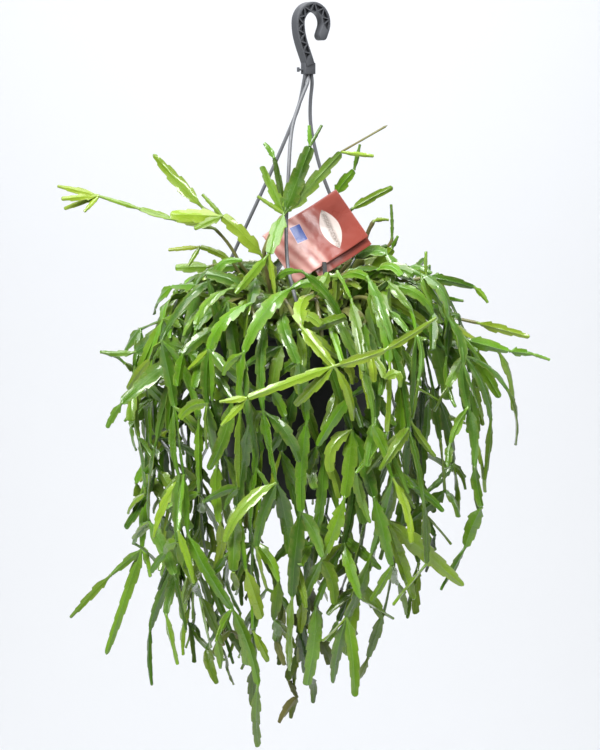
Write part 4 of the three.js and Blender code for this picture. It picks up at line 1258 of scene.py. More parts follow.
def more_runs(number, stem, space):
    """Further side runs that leave the joints of a packed stem."""
    draw = plan_draws(RUN_SEED, number)
    name = f"runs_{number:02d}"
    runs = []
    for parent in [segment for chain in stem.chains for segment in chain[1:]]:
        x, z = parent.end[0], parent.end[2]
        if z > CREST_Z or x > RUNS_UP_TO:
            continue
        chance = between(RUN_CHANCE, z, 1)
        if x > RUNS_FEWER_FROM:
            chance *= RUN_CHANCE_RIGHT
        if x < RUNS_ALL_TO:
            chance = 1
        for _ in range(RUNS_AT_JOINT):
            if draw() > chance:
                continue
            outward = outward_at(parent.end)
            bearing = math.atan2(outward[0], -outward[1]) + draw.within(-RUN_BEARING, RUN_BEARING)
            plan = further_plan(name, RUN_SEED, bearing, RUN_PULL, draw)
            run = side_run(plan, parent, space, draw)
            if run:
                runs.append(run)
    fill_space(runs, name, space)
    return SimpleNamespace(name=stem.name, chains=runs)


def more_stem(number, free_roots, space):
    """A further stem with its own root."""
    draw = plan_draws(MORE_SEED, number)
    bearing = number * GOLDEN_ANGLE
    bearing -= MORE_CROWDING * math.sin(bearing) + MORE_TO_LEFT * math.cos(bearing / 2) ** 2
    reach = draw.within(*MORE_ROOT_REACH)
    seed = MORE_SEED + number * STEM_SEED_STEP
    plan = further_plan(f"more_{number:02d}", seed, bearing, MORE_PULL, draw)
    plan.index = take_root(reach * math.sin(bearing), -reach * math.cos(bearing), free_roots)
    plan.root_radius = axis_distance(root_at(plan.index))
    chain = []
    for attempt in range(MORE_RETRIES):
        tried, complete = grow_chain(plan, space, Draws(seed + attempt * TRY_SEED_STEP))
        if not chain or complete or tried[-1].end[2] < chain[-1].end[2]:
            chain = tried
        if complete:
            break
    chains = [chain, *side_runs(plan, chain[1:], MORE_BRANCHING, space, Draws(seed + 1))]
    fill_space(chains, plan.name, space)
    return SimpleNamespace(name=plan.name, chains=chains)


def keep_view(space):
    """Keeps further stems from crossing in front of the label's face."""
    label = label_frame()
    half = LABEL_WIDTH // 2
    across = range(-half, half + 1, VIEW_BALL_STEP)
    spots = [label.at(x, y, z) for x in across for z in VIEW_BALL_ROWS for y in VIEW_BALL_DEPTHS]
    space.add(np.array(spots), VIEW_BALL, "label_face")


def grow_more(stems, space):
    keep_view(space)
    runs = [more_runs(number, stem, space) for number, stem in enumerate(stems)]
    free_roots = [index + step for index in range(ROOT_COUNT) for step in ROOTS_BETWEEN]
    return runs + [more_stem(number, free_roots, space) for number in range(MORE_STEMS)]


# Fine skins of the stems: rings of points, flat and scalloped along a blade, round at its joints


def lobe(share):
    """How far one scallop of an edge stands out: a short step in, then a swell out to the next step."""
    part = share % 1.0
    if part < LOBE_STEP:
        return 1 - part / LOBE_STEP
    return ((part - LOBE_STEP) / (1 - LOBE_STEP)) ** LOBE_SWELL


def blade_outline(share, widest, tip):
    """A blade's half width along it, without its scallops: a wedge, a long taper and a blunt end."""
    base = smooth(share / widest) ** WEDGE_POWER
    taper = mix(1, tip, clamp((share - widest) / (1 - widest), 0, 1) ** TAPER_POWER)
    end = clamp((share - BLADE_SHOULDER) / (1 - BLADE_SHOULDER), 0, 1)
    return base * taper * math.sqrt(1 - end * end)


def blade_rings(segment, draw):
    """Rings along a blade: shares of its length, half widths left and right, roundness and notches."""
    count = max(2, round(curve_length(segment) * LOBED_SHARE / LOBE_PITCH))
    runs = [i + part for i in range(count) for part in (0, LOBE_STEP, 0.5, 0.5 + LOBE_STEP)]
    lobed = [LOBED_FROM + LOBED_SHARE * run / count for run in (*runs, count)]
    depth = draw.within(*LOBE_DEPTH)
    widest = draw.within(*BLADE_WIDEST)
    tip = draw.within(*BLADE_TIP)
    rings = []
    for share in (FIRST_RING, *lobed, LAST_RING):
        run = clamp((share - LOBED_FROM) / LOBED_SHARE, 0, 1) * count
        half = segment.width / 2 * SKIN_WIDTH * blade_outline(share, widest, tip)
        left = half * (1 - depth + depth * lobe(run) * LOBE_OUT)
        right = half * (1 - depth + depth * lobe(run + 0.5) * LOBE_OUT)
        neck = clamp(1 - (min(left, right) - NECK_HALF) / NECK_FADE, 0, 1)
        notch = max(1 - lobe(run), 1 - lobe(run + 0.5))
        rings.append((share, max(left, NECK_HALF), max(right, NECK_HALF), neck, notch))
    return rings


def slim_rings(segment, draw):
    """Rings along a round twig or root, a little knobbly."""
    count = max(2, round(curve_length(segment) / SLIM_RING_STEP))
    half = segment.width / 2
    rings = []
    for j in range(count):
        share = (j + 0.5) / count
        bump = half * draw.within(*SLIM_KNOBS)
        rings.append((share, bump, bump, 1, 0))
    return rings


def segment_skin(segment, look, draw):
    """The skin of one segment, without the joints at its ends: points, looks and edge marks."""
    rings = blade_rings(segment, draw) if segment.kind == "blade" else slim_rings(segment, draw)
    shares, left, right, neck, notch = (np.array(column, float) for column in zip(*rings))
    middles, _, normals, sides = frames(segment, shares)
    twist = draw.within(-1, 1) * BLADE_TWIST * (shares - 0.5) if segment.kind == "blade" else shares * 0
    cup = draw.within(-1, 1) * BLADE_CUP
    phase = draw() * 2 * math.pi
    turned_sides = sides * np.cos(twist)[:, None] + normals * np.sin(twist)[:, None]
    turned_normals = normals * np.cos(twist)[:, None] - sides * np.sin(twist)[:, None]
    half = np.where(FLAT_ACROSS < 0, left[:, None], right[:, None])
    across = half * FLAT_ACROSS
    ripple = np.sin(shares * RIPPLE_WAVES + phase)[:, None] * FLAT_ACROSS * EDGE_RIPPLE
    lift = FLAT_HEIGHT * np.minimum(1, half / FULL_RIB_HALF)
    lift = lift + (FLAT_ACROSS**2 * cup + ripple) * np.minimum(1, half / FULL_BOW_HALF)
    circle = np.minimum(left, right)[:, None]
    blend_share = neck[:, None]
    across = mix(across, circle * np.cos(ROUND_TURN), blend_share)
    lift = mix(lift, circle * np.sin(ROUND_TURN), blend_share)
    points = middles[:, None, :] + turned_sides[:, None, :] * across[..., None]
    points = points + turned_normals[:, None, :] * lift[..., None]
    points = np.clip(points, CAD_BOX[0] / MM, CAD_BOX[1] / MM)
    edge = np.abs(FLAT_ACROSS) * (1 - blend_share)
    marks = np.stack([edge, edge**4 * notch[:, None]], axis=2)
    return points, np.broadcast_to(look, (*edge.shape, 4)), marks


def plain_ring(points, look):
    """One ring with the same look all round and no edge marks."""
    return points[None], np.tile(look, (1, RING_SIDES, 1)), np.zeros((1, RING_SIDES, 2))


def end_ring(point, look):
    """A ring drawn to a point, which closes a skin."""
    return plain_ring(np.tile(point, (RING_SIDES, 1)), look)


def joint_ring(before, segment, look):
    """The round ring where a segment starts, turned half way from the segment before it, if any."""
    joined = [before, segment] if before else [segment]
    half = min(JOINT_HALF if one.kind == "blade" else one.width / 2 for one in joined)
    heading = unit(segment.knee - segment.start)
    normal = segment.normal
    if before:
        heading = unit(unit(before.end - before.knee) + heading)
        normal = before.normal + normal
    normal = square_to(normal, heading)
    side = np.cross(normal, heading)
    turns = ROUND_TURN[:, None]
    return plain_ring(segment.start + (side * np.cos(turns) + normal * np.sin(turns)) * half, look)


def mass_shade(point):
    """Painted shade for a point deep inside the hanging stems: how deep it lies, from 0 at their outside to
    1, fading in below the rim.
    """
    inward = clamp(1 - axis_distance(point) / shell_radius(point, 1), 0, 1)
    return clamp(inward * MASS_SHADE_GAIN, 0, 1) * clamp((RIM_Z - point[2]) / MASS_SHADE_FADE, 0, 1)


def chain_looks(chain, stem, draw):
    """For each segment of a chain: how young, how woody, its own tint and how dark it is, by a random tone
    and by painted shade.
    """
    looks = []
    for i, segment in enumerate(chain):
        is_blade = segment.kind == "blade"
        tint, shade = draw(), draw()
        from_tip = len(chain) - 1 - i
        low = smooth((LOW_FROM - segment.knee[2]) / LOW_OVER)
        young = 0
        if from_tip < len(YOUNG_TIPS):
            young = YOUNG_TIPS[from_tip] * draw() ** mix(*YOUNG_TIP_POWER, low)
        if is_blade and stem.name in YOUNG_STEMS:
            young = max(young, draw.within(*YOUNG_STEM_BLADES))
        wood = WOOD[segment.kind]
        inside = axis_distance(segment.start) < RIM_RADIUS
        if is_blade and inside and i < OLD_BLADES and stem.name not in PLACED_STEMS:
            wood = mix(*OLD_BLADE_WOOD, tint * shade)
        dark_and_shade = max(mix(SHADE_HIGH * shade, SHADE_LOW * shade**2, low), mass_shade(segment.knee))
        # Painted shade on the shaded stems, all but their last segment
        if stem.name in SHADED_STEMS and from_tip:
            dark_and_shade = SHADED_STEM_DARK
        looks.append((clamp(young, 0, 1), wood, tint, dark_and_shade))
    return looks


def add_chain(bm, chain, stem, draw):
    """The closed skin of one chain: a grid wrapped round its rings, with both ends drawn to a point."""
    looks = chain_looks(chain, stem, draw)
    parts = [end_ring(chain[0].start, looks[0])]
    for before, segment, look in zip([None, *chain], chain, looks):
        parts.append(joint_ring(before, segment, look))
        parts.append(segment_skin(segment, look, draw))
    parts.append(end_ring(chain[-1].end, looks[-1]))
    points, grow, marks = (np.concatenate(part) for part in zip(*parts))
    made = bmesh.ops.create_grid(bm, x_segments=RING_SIDES, y_segments=len(points) - 1, size=1)
    grow_layer = bm.verts.layers.float_color["grow"]
    edge_layer = bm.verts.layers.float_color["edge"]
    for index, vert in enumerate(made["verts"]):
        row, column = divmod(index, RING_SIDES + 1)
        column %= RING_SIDES
        vert.co = points[row, column]
        vert[grow_layer] = grow[row, column]
        vert[edge_layer] = (*marks[row, column], 0, 1)
    bmesh.ops.remove_doubles(bm, verts=made["verts"], dist=1e-4)


def stems_piece(name, stems, draw, material, *replaced):
    """One piece with the fine skins of some stems."""
    bm = bmesh.new()
    bm.verts.layers.float_color.new("grow")
    bm.verts.layers.float_color.new("edge")
    for stem in stems:
        for chain in stem.chains:
            add_chain(bm, chain, stem, draw)
    bmesh.ops.recalc_face_normals(bm, faces=bm.faces)
    finished(bm, name, "stem", material, *replaced, sharp=STEM_CREASE)


# Making pieces


def mesh_of(bm, name):
    """Turns a bmesh into a mesh, and frees it."""
    mesh = bpy.data.meshes.new(name)
    bm.to_mesh(mesh)
    bm.free()
    return mesh


def in_scene(name, data):
    """A new object of the scene."""
    made = bpy.data.objects.new(name, data)
    bpy.context.scene.collection.objects.link(made)
    return made


def finished(bm, name, slot, material, *replaced, sharp):
    """Turns a bmesh in millimetres into a piece of the object."""
    bmesh.ops.scale(bm, vec=(MM, MM, MM), verts=bm.verts)
    mesh = mesh_of(bm, name)
    mesh.shade_smooth()
    mesh.set_sharp_from_angle(angle=math.radians(sharp))
    mesh.materials.append(material)
    piece = in_scene(name, mesh)
    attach(piece, "root")
    if replaced:
        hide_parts(*replaced)
    return piece


# Pot, hanger, soil and label


def softened(profile, radius):
    """A profile with its inner corners rounded."""
    corners = [Vector(corner) for corner in profile]
    done = [corners[0]]
    for before, corner, after in zip(corners, corners[1:], corners[2:]):
        arms = [end - corner for end in (before, after)]
        reach = min(radius, arms[0].length * 0.45, arms[1].length * 0.45)
        first, last = (corner + arm.normalized() * reach for arm in arms)
        for share in (0, 0.33, 0.67, 1):
            done.append(first.lerp(corner, share).lerp(corner.lerp(last, share), share))
    return [*done, corners[-1]]


def spun(profile, steps):
    """A closed body: a profile of radius and height turned about the upright axis."""
    bm = bmesh.new()
    line = [bm.verts.new((radius, 0, height)) for radius, height in profile]
    edges = [bm.edges.new(pair) for pair in zip(line, line[1:])]
    bmesh.ops.spin(
        bm, geom=line + edges, cent=(0, 0, 0), axis=(0, 0, 1), angle=2 * math.pi, steps=steps, use_merge=True
    )
    bmesh.ops.remove_doubles(bm, verts=bm.verts, dist=1e-3)
    bmesh.ops.recalc_face_normals(bm, faces=bm.faces)
    return bm


def add_bar(bm, place, radius, length, sides):
    """A round bar, upright but for what the matrix of its place turns."""
    made = bmesh.ops.create_cone(
        bm, cap_ends=True, segments=sides, radius1=radius, radius2=radius, depth=length, matrix=place
    )
    return made["verts"]


def add_drum(bm, x, y, low, high, radius):
    """An upright cylinder between two heights."""
    return add_bar(bm, Matrix.Translation((x, y, (low + high) / 2)), radius, high - low, 32)


def drums(places, low, high, radius):
    """Upright cylinders of one size, as a body of their own."""
    bm = bmesh.new()
    for x, y in places:
        add_drum(bm, x, y, low, high, radius)
    return bm


def bevel(bm, edges, offset, segments):
    bmesh.ops.bevel(
        bm, geom=edges, offset=offset, affect="EDGES", segments=segments, profile=0.5, material=-1
    )


def combined(body, other, operation):
    """A body with another added to it or cut from it, as a bmesh again."""
    pieces = [in_scene("rough", mesh_of(bm, "rough")) for bm in (body, other)]
    cut = pieces[0].modifiers.new("cut", "BOOLEAN")
    cut.object = pieces[1]
    cut.operation = operation
    cut.solver = "EXACT"
    shaped = pieces[0].evaluated_get(bpy.context.evaluated_depsgraph_get())
    result = bmesh.new()
    result.from_mesh(shaped.to_mesh())
    for piece in pieces:
        bpy.data.objects.remove(piece)
    return result


def pot_outline():
    """Half of the pot's section, from its middle under the floor round to its middle inside."""
    under = RIM_Z - RIM_BAND
    inside = POT_SHOULDER_RADIUS - POT_WALL
    foot = POT_BASE_RADIUS - POT_FOOT_WIDTH
    floor = POT_BOTTOM + POT_FOOT
    return [
        (0, floor),
        (foot, floor),
        (foot + 1, POT_BOTTOM),
        (POT_BASE_RADIUS, POT_BOTTOM),
        (POT_SHOULDER_RADIUS, under),
        (RIM_RADIUS, under + 2),
        (RIM_RADIUS, RIM_Z),
        (inside + 2, RIM_Z),
        (inside, under),
        (POT_BASE_RADIUS - POT_WALL, floor + POT_FLOOR),
        (0, floor + POT_FLOOR),
    ]


def make_pot(material):
    """The pot with its lugs, a hole through each lug, room under it for the knob, and drain holes."""
    lugs = [lug_place(angle) for angle in LUG_ANGLES]
    turns = [(i + 0.5) / DRAIN_HOLES * 2 * math.pi for i in range(DRAIN_HOLES)]
    drains = [(DRAIN_CIRCLE * math.cos(turn), DRAIN_CIRCLE * math.sin(turn)) for turn in turns]
    under = RIM_Z - RIM_BAND - 4
    lug_bottom = RIM_Z - LUG_HEIGHT
    body = spun(softened(pot_outline(), POT_CORNER), POT_STEPS)
    body = combined(body, drums(lugs, lug_bottom, RIM_Z - LUG_BELOW_RIM, LUG_RADIUS), "UNION")
    body = combined(body, drums(lugs, under, RIM_Z + 2, LUG_HOLE), "DIFFERENCE")
    holes = drums(lugs, under, lug_bottom, KNOB_RADIUS + 2 * FIT_GAP)
    for x, y in drains:
        add_drum(holes, x, y, POT_BOTTOM - 1, POT_BOTTOM + 8, DRAIN_RADIUS)
    body = combined(body, holes, "DIFFERENCE")
    bmesh.ops.translate(body, vec=(POT_AXIS_X, 0, 0), verts=body.verts)
    finished(body, "pot_fine", "pot", material, "pot", sharp=28)


def soil_body():
    """The filling up to its dome, whose top is roughened."""
    floor = POT_BOTTOM + POT_FOOT + POT_FLOOR + FIT_GAP
    gap = POT_WALL + FIT_GAP + SOIL_GAP
    edge = RIM_Z - SOIL_BELOW_RIM
    wall = POT_SHOULDER_RADIUS - gap - 0.2
    tops = [ROOT_CIRCLE * i / SOIL_RINGS for i in range(SOIL_RINGS, -1, -1)]
    profile = [(0, floor), (POT_BASE_RADIUS - gap, floor), (wall, edge - 1)]
    profile += [(radius, soil_height(radius)) for radius in tops]
    bm = spun(profile, SOIL_STEPS)
    for vert in bm.verts:
        if vert.co.z > edge - 0.5:
            lumps = sum(noise.noise(vert.co * fineness) * height for fineness, height in SOIL_LUMPS)
            vert.co.z += lumps - SOIL_SINK
    return bm


def add_crumb(bm, draw):
    """One crumb or bit of bark, somewhere on the soil."""
    radius = CRUMB_CIRCLE * math.sqrt(draw())
    turn = draw() * 2 * math.pi
    size = draw.within(*CRUMB_SIZES)
    place = Matrix.Translation((radius * math.cos(turn), radius * math.sin(turn), soil_height(radius)))
    tilt = Matrix.Rotation(draw() * 6, 4, Vector((draw() - 0.5, draw() - 0.5, 0.3)).normalized())
    stretch = Matrix.Diagonal((size * draw.within(*CRUMB_LONG), size, size * draw.within(*CRUMB_FLAT), 1))
    bmesh.ops.create_icosphere(bm, subdivisions=1, radius=1, matrix=place @ tilt @ stretch)


def make_soil(material):
    bm = soil_body()
    draw = Draws(CRUMB_SEED)
    for _ in range(CRUMBS):
        add_crumb(bm, draw)
    bmesh.ops.translate(bm, vec=(POT_AXIS_X, 0, 0), verts=bm.verts)
    finished(bm, "soil_fine", "soil", material, "soil", sharp=50)


def rod_body(points):
    """A round rod along a smooth line through some points."""
    line = evenly(points, ROD_STEPS)
    curve = bpy.data.curves.new("rough", "CURVE")
    curve.dimensions = "3D"
    curve.bevel_depth = ROD_RADIUS
    curve.bevel_resolution = 5
    curve.use_fill_caps = True
    run = curve.splines.new("POLY")
    run.points.add(len(line) - 1)
    for point, place in zip(run.points, line):
        point.co = (*place, 1)
    rough = in_scene("rough", curve)
    bm = bmesh.new()
    bm.from_mesh(rough.to_mesh())
    bpy.data.objects.remove(rough)
    return bm


def add_knob(bm, x, y):
    """The knob under a lug, with rounded rims."""
    top = RIM_Z - LUG_HEIGHT - FIT_GAP
    knob = add_drum(bm, x, y, top - KNOB_HEIGHT, top, KNOB_RADIUS)
    rims = [edge for edge in bm.edges if all(v in knob for v in edge.verts) and len(edge.link_faces) == 2]
    bevel(bm, [edge for edge in rims if edge.calc_face_angle() > 1], 0.8, 3)


def make_rods(material):
    """Three round rods, each along its bowed line with a knob under its lug."""
    for name, bow in ROD_BOWS.items():
        bm = rod_body(rod_points(*bow))
        x, y = lug_place(LUG_ANGLES[bow[1]])
        add_knob(bm, POT_AXIS_X + x, y)
        finished(bm, name + "_fine", "hanger_rod", material, name, sharp=40)


def hook_line():
    """The middle line of the hook's band in its own plane: shank, bend and tip."""
    radius = HOOK_BEND + HOOK_BAND / 2
    corners = [
        Vector(HOOK_FOOT),
        Vector(HOOK_FOOT) + Vector(SHANK_LEAVES),
        Vector((-radius, -HOOK_BEND - SHANK_ARRIVES)),
        Vector((-radius, -HOOK_BEND)),
    ]
    line = []
    for i in range(SHANK_STEPS):
        t = i / SHANK_STEPS
        shares = ((1 - t) ** 3, 3 * t * (1 - t) ** 2, 3 * t * t * (1 - t), t**3)
        line.append(sum((corner * share for corner, share in zip(corners, shares)), Vector((0, 0))))
    for i in range(BEND_STEPS + 1):
        turn = math.pi + (HOOK_TIP_ANGLE - math.pi) * i / BEND_STEPS
        line.append(Vector((math.cos(turn) * radius, math.sin(turn) * radius - HOOK_BEND)))
    heading = Vector((math.sin(HOOK_TIP_ANGLE), -math.cos(HOOK_TIP_ANGLE)))
    return [*line, line[-1] + heading * HOOK_TIP]


def beside(line, distance):
    """The line moved sideways, to the left of the way it runs."""
    moved = []
    for i, point in enumerate(line):
        along = (line[min(len(line) - 1, i + 1)] - line[max(0, i - 1)]).normalized()
        moved.append(point + Vector((-along.y, along.x)) * distance)
    return moved


def add_slab(bm, outline, bottom, top):
    """A flat body with an outline in the hook's plane."""
    face = bm.faces.new([bm.verts.new((x, y, bottom)) for x, y in outline])
    made = bmesh.ops.extrude_face_region(bm, geom=[face])["geom"]
    raised = [item for item in made if isinstance(item, bmesh.types.BMVert)]
    bmesh.ops.translate(bm, vec=(0, 0, top - bottom), verts=raised)


def pocket_corners(line):
    """The triangles between the hook's zigzag ribs."""
    lengths = [0.0]
    for a, b in zip(line, line[1:]):
        lengths.append(lengths[-1] + (b - a).length)
    count = int(lengths[-1] / POCKET_PITCH)
    railed = HOOK_BAND / 2 - 1
    rails = beside(line, railed), beside(line, -railed)
    nodes = []
    for i in range(count + 1):
        at, share = step_at(lengths, lengths[-1] * i / count)
        rail = rails[1 - i % 2]
        nodes.append(rail[at].lerp(rail[at + 1], share))
    triangles = []
    for corners in zip(nodes[1:], nodes[2:], nodes[3:-1]):
        middle = (corners[0] + corners[1] + corners[2]) / 3
        triangles.append([middle + (corner - middle) * POCKET_SHARE for corner in corners])
    return triangles


def hook_band(line):
    """The flat band along its line, with a round nose at its tip and softened rims."""
    half = HOOK_BAND / 2 - HOOK_TRIM
    face = HOOK_DEPTH / 2
    tip = line[-1]
    along = (tip - line[-2]).normalized()
    across = Vector((-along.y, along.x))
    nose = [tip + (across * math.sin(t) + along * math.cos(t)) * half for t in np.linspace(1.2, -1.2, 9)]
    band = bmesh.new()
    add_slab(band, [*beside(line, half), *nose, *reversed(beside(line, -half))], -face, face)
    bmesh.ops.recalc_face_normals(band, faces=band.faces)
    bevel(band, [edge for edge in band.edges if edge.calc_face_angle() > 1.2], 0.6, 2)
    return band


def hook_pockets(line):
    """What is cut out of both faces of the band."""
    face = HOOK_DEPTH / 2
    pockets = bmesh.new()
    for corners in pocket_corners(line):
        add_slab(pockets, corners, face - POCKET_DEPTH, face + 1)
        add_slab(pockets, corners, -face - 1, POCKET_DEPTH - face)
    bmesh.ops.recalc_face_normals(pockets, faces=pockets.faces)
    return pockets


def hook_collar():
    """The block at the hook's foot that holds the rods."""
    foot_x, foot_y = HOOK_FOOT
    place = Matrix.Translation((foot_x, foot_y - COLLAR_HEIGHT / 2 + 1, 0))
    size = Matrix.Diagonal((COLLAR_WIDTH, COLLAR_HEIGHT + 2, HOOK_DEPTH - 2, 1))
    collar = bmesh.new()
    bmesh.ops.create_cube(collar, size=1, matrix=place @ size)
    bevel(collar, collar.edges[:], 0.7, 2)
    return collar


def hook_bar(x, y, axis, radius, length, sides):
    """A round bar in the hook's plane: turned about X it runs along the shank, about Y across it."""
    bm = bmesh.new()
    place = Matrix.Translation((x, y, 0)) @ Matrix.Rotation(math.pi / 2, 4, axis)
    add_bar(bm, place, radius, length, sides)
    return bm


def make_hook(material):
    """A flat band bent to a hook, with ribbed pockets, a collar for the rods and a small headed peg."""
    line = hook_line()
    foot_x, foot_y = HOOK_FOOT
    bottom = foot_y - COLLAR_HEIGHT
    peg_x = foot_x - COLLAR_WIDTH / 2 - PEG_INSET
    peg_y = bottom + COLLAR_HEIGHT / 2
    hook = combined(hook_band(line), hook_pockets(line), "DIFFERENCE")
    hook = combined(hook, hook_collar(), "UNION")
    hook = combined(hook, hook_bar(peg_x, peg_y, "Y", PEG_RADIUS, PEG_LENGTH, 20), "UNION")
    head_x = peg_x - PEG_LENGTH / 2
    hook = combined(hook, hook_bar(head_x, peg_y, "X", PEG_HEAD_RADIUS, PEG_HEAD_LENGTH, 20), "UNION")
    bore = ROD_RADIUS + FIT_GAP
    for number in (-1, 0, 1):
        x = foot_x + number * ROD_PITCH
        socket = hook_bar(x, bottom, "X", bore, 2 * (ROD_SOCKET + FIT_GAP), 24)
        hook = combined(hook, socket, "DIFFERENCE")
    turn = Matrix.Rotation(HOOK_TURN, 4, "Z") @ Matrix.Rotation(math.pi / 2, 4, "X")
    bmesh.ops.transform(hook, matrix=turn, verts=hook.verts)
    finished(hook, "hook_fine", "hanger_hook", material, "hanger_hook", sharp=35)


def label_spot(u, v):
    """Where a pixel of the view falls on the label's plane: across from its middle and up from its fold."""
    label = label_frame()
    eye = np.array([VIEW_X, -VIEW_DISTANCE, VIEW_Z])
    ray = from_view((u, v, 0)) - eye
    inward = label.turn[:, 1]
    spot = eye + ray * float(inward @ (label.origin - eye)) / float(inward @ ray) - label.origin
    return float(label.turn[:, 0] @ spot), float(label.turn[:, 2] @ spot)


def label_path():
    """The card's middle line from the front leaf's lower edge, over the fold and down the back."""
    middle = LABEL_THICK / 2
    rear = LABEL_THICK + LABEL_GAP + LABEL_THICK / 2
    bend = (rear - middle) / 2
    top = -bend - LABEL_THICK / 2
    path = [(middle, mix(-LABEL_HEIGHT, top, i / FRONT_LEAF_STEPS)) for i in range(FRONT_LEAF_STEPS)]
    for i in range(FOLD_STEPS + 1):
        turn = math.pi * (1 - i / FOLD_STEPS)
        path.append((middle + bend + bend * math.cos(turn), top + bend * math.sin(turn)))
    slope = math.tan(LABEL_OPEN)
    low = -LABEL_HEIGHT - BACK_LEAF_LONGER
    for i in range(1, BACK_LEAF_STEPS + 1):
        height = mix(top, low, i / BACK_LEAF_STEPS)
        path.append((rear + (top - height) * slope, height))
    return path


def make_label(material):
    """One waved card folded over, its back leaf narrower and longer than its front."""
    label = label_frame()
    path = label_path()
    bm = bmesh.new()
    sheet = bm.loops.layers.uv.new("sheet")
    made = bmesh.ops.create_grid(bm, x_segments=LABEL_WIDTH, y_segments=len(path) - 1, size=1)
    spots = {}
    run = -LABEL_HEIGHT
    for index, vert in enumerate(made["verts"]):
        row, column = divmod(index, LABEL_WIDTH + 1)
        across = column - LABEL_WIDTH / 2
        if column == 0 and row:
            run += math.dist(path[row], path[row - 1])
        inward, upward = path[row]
        spots[vert] = (across / SHEET_SCALE, run / SHEET_SCALE)
        vert.co = label.at(across, inward + label_bow(across), upward)
    beyond, beside_leaf = FOLD_SPAN / SHEET_SCALE, BACK_LEAF_FROM / SHEET_SCALE
    spare = [face for face in bm.faces if max(spots[v][1] for v in face.verts) > beyond]
    spare = [face for face in spare if min(spots[v][0] for v in face.verts) < beside_leaf]
    for face in bm.faces:
        for loop in face.loops:
            loop[sheet].uv = spots[loop.vert]
    bmesh.ops.delete(bm, geom=spare, context="FACES")
    bmesh.ops.recalc_face_normals(bm, faces=bm.faces)
    piece = finished(bm, "label_fine", "plant_label", material, "plant_label", sharp=50)
    shell = piece.modifiers.new("thickness", "SOLIDIFY")
    shell.thickness = LABEL_THICK * MM
    shell.offset = 0
    edges = piece.modifiers.new("edges", "BEVEL")
    edges.width = CARD_BEVEL * MM
    edges.segments = 2
    edges.limit_method = "ANGLE"


# Materials


def colour(code):
    """A colour from its six hexadecimal digits, as linear values."""
    parts = [int(code[i : i + 2], 16) / 255 for i in (0, 2, 4)]
    linear = [part / 12.92 if part <= 0.04045 else ((part + 0.055) / 1.055) ** 2.4 for part in parts]
    return (*linear, 1.0)


class Nodes:
    """Places and links the nodes of one tree."""

    def __init__(self, tree):
        self.tree = tree

    def add(self, kind, **settings):
        node = self.tree.nodes.new("ShaderNode" + kind)
        for name, value in settings.items():
            setattr(node, name, value)
        return node

    def feed(self, socket, value):
        if isinstance(value, bpy.types.NodeSocket):
            self.tree.links.new(value, socket)
        else:
            socket.default_value = value

    def maths(self, operation, a, b=0.0, c=0.0, clamped=False):
        node = self.add("Math", operation=operation, use_clamp=clamped)
        for socket, value in zip(node.inputs, (a, b, c)):
            self.feed(socket, value)
        return node.outputs[0]

    def plus(self, a, b):
        return self.maths("ADD", a, b)

    def minus(self, a, b):
        return self.maths("SUBTRACT", a, b)

    def times(self, a, b):
        return self.maths("MULTIPLY", a, b)

    def size_of(self, value):
        return self.maths("ABSOLUTE", value)

    def blend(self, share, a, b, mode="MIX"):
        node = self.add("Mix", data_type="RGBA", blend_type=mode)
        self.feed(node.inputs[0], share)
        self.feed(node.inputs[6], a)
        self.feed(node.inputs[7], b)
        return node.outputs[2]

    def tones(self, share, codes):
        """A colour between two, each given by its digits."""
        return self.blend(share, colour(codes[0]), colour(codes[1]))

    def noise(self, vector, scale, detail=2.0, roughness=0.5):
        node = self.add("TexNoise")
        self.feed(node.inputs["Vector"], vector)
        self.feed(node.inputs["Scale"], scale)
        node.inputs["Detail"].default_value = detail
        node.inputs["Roughness"].default_value = roughness
        return node.outputs["Fac"]

    def remap(self, value, low, high, to_low=0.0, to_high=1.0):
        node = self.add("MapRange")
        for socket, number in zip(node.inputs, (value, low, high, to_low, to_high)):
            self.feed(socket, number)
        return node.outputs[0]

    def bump(self, height, distance):
        node = self.add("Bump")
        self.feed(node.inputs["Height"], height)
        node.inputs["Distance"].default_value = distance
        return node.outputs["Normal"]

    def grain(self, fineness, patch_size):
        """Fine grain and broad patches, out of the group that all materials share."""
        node = self.add("Group")
        node.node_tree = grain_group()
        node.inputs["Fineness"].default_value = fineness
        node.inputs["Patch Scale"].default_value = patch_size
        return node.outputs["Grain"], node.outputs["Patches"]

    def object_place(self):
        return self.add("TexCoord").outputs["Object"]

    def attribute(self, name):
        """An attribute's four parts."""
        node = self.add("Attribute", attribute_name=name)
        parts = self.add("SeparateColor")
        self.feed(parts.inputs[0], node.outputs["Color"])
        return [*parts.outputs, node.outputs["Alpha"]]


def grain_group():
    """The grain that all materials share: a fine one and broad patches over it."""
    made = bpy.data.node_groups.get("grain")
    if made:
        return made
    tree = bpy.data.node_groups.new("grain", "ShaderNodeTree")
    for name in ("Fineness", "Patch Scale"):
        tree.interface.new_socket(name, in_out="INPUT", socket_type="NodeSocketFloat")
    for name in ("Grain", "Patches"):
        tree.interface.new_socket(name, in_out="OUTPUT", socket_type="NodeSocketFloat")
    given = tree.nodes.new("NodeGroupInput").outputs
    result = tree.nodes.new("NodeGroupOutput").inputs
    nodes = Nodes(tree)
    place = nodes.object_place()
    nodes.feed(result["Grain"], nodes.noise(place, given["Fineness"], 3, 0.6))
    nodes.feed(result["Patches"], nodes.noise(place, given["Patch Scale"], 3))
    return tree


def new_material(name):
    material = bpy.data.materials.new(name)
    material.use_nodes = True
    material.node_tree.nodes.clear()
    nodes = Nodes(material.node_tree)
    shader = nodes.add("BsdfPrincipled")
    nodes.feed(nodes.add("OutputMaterial").inputs["Surface"], shader.outputs[0])
    return material, nodes, shader.inputs


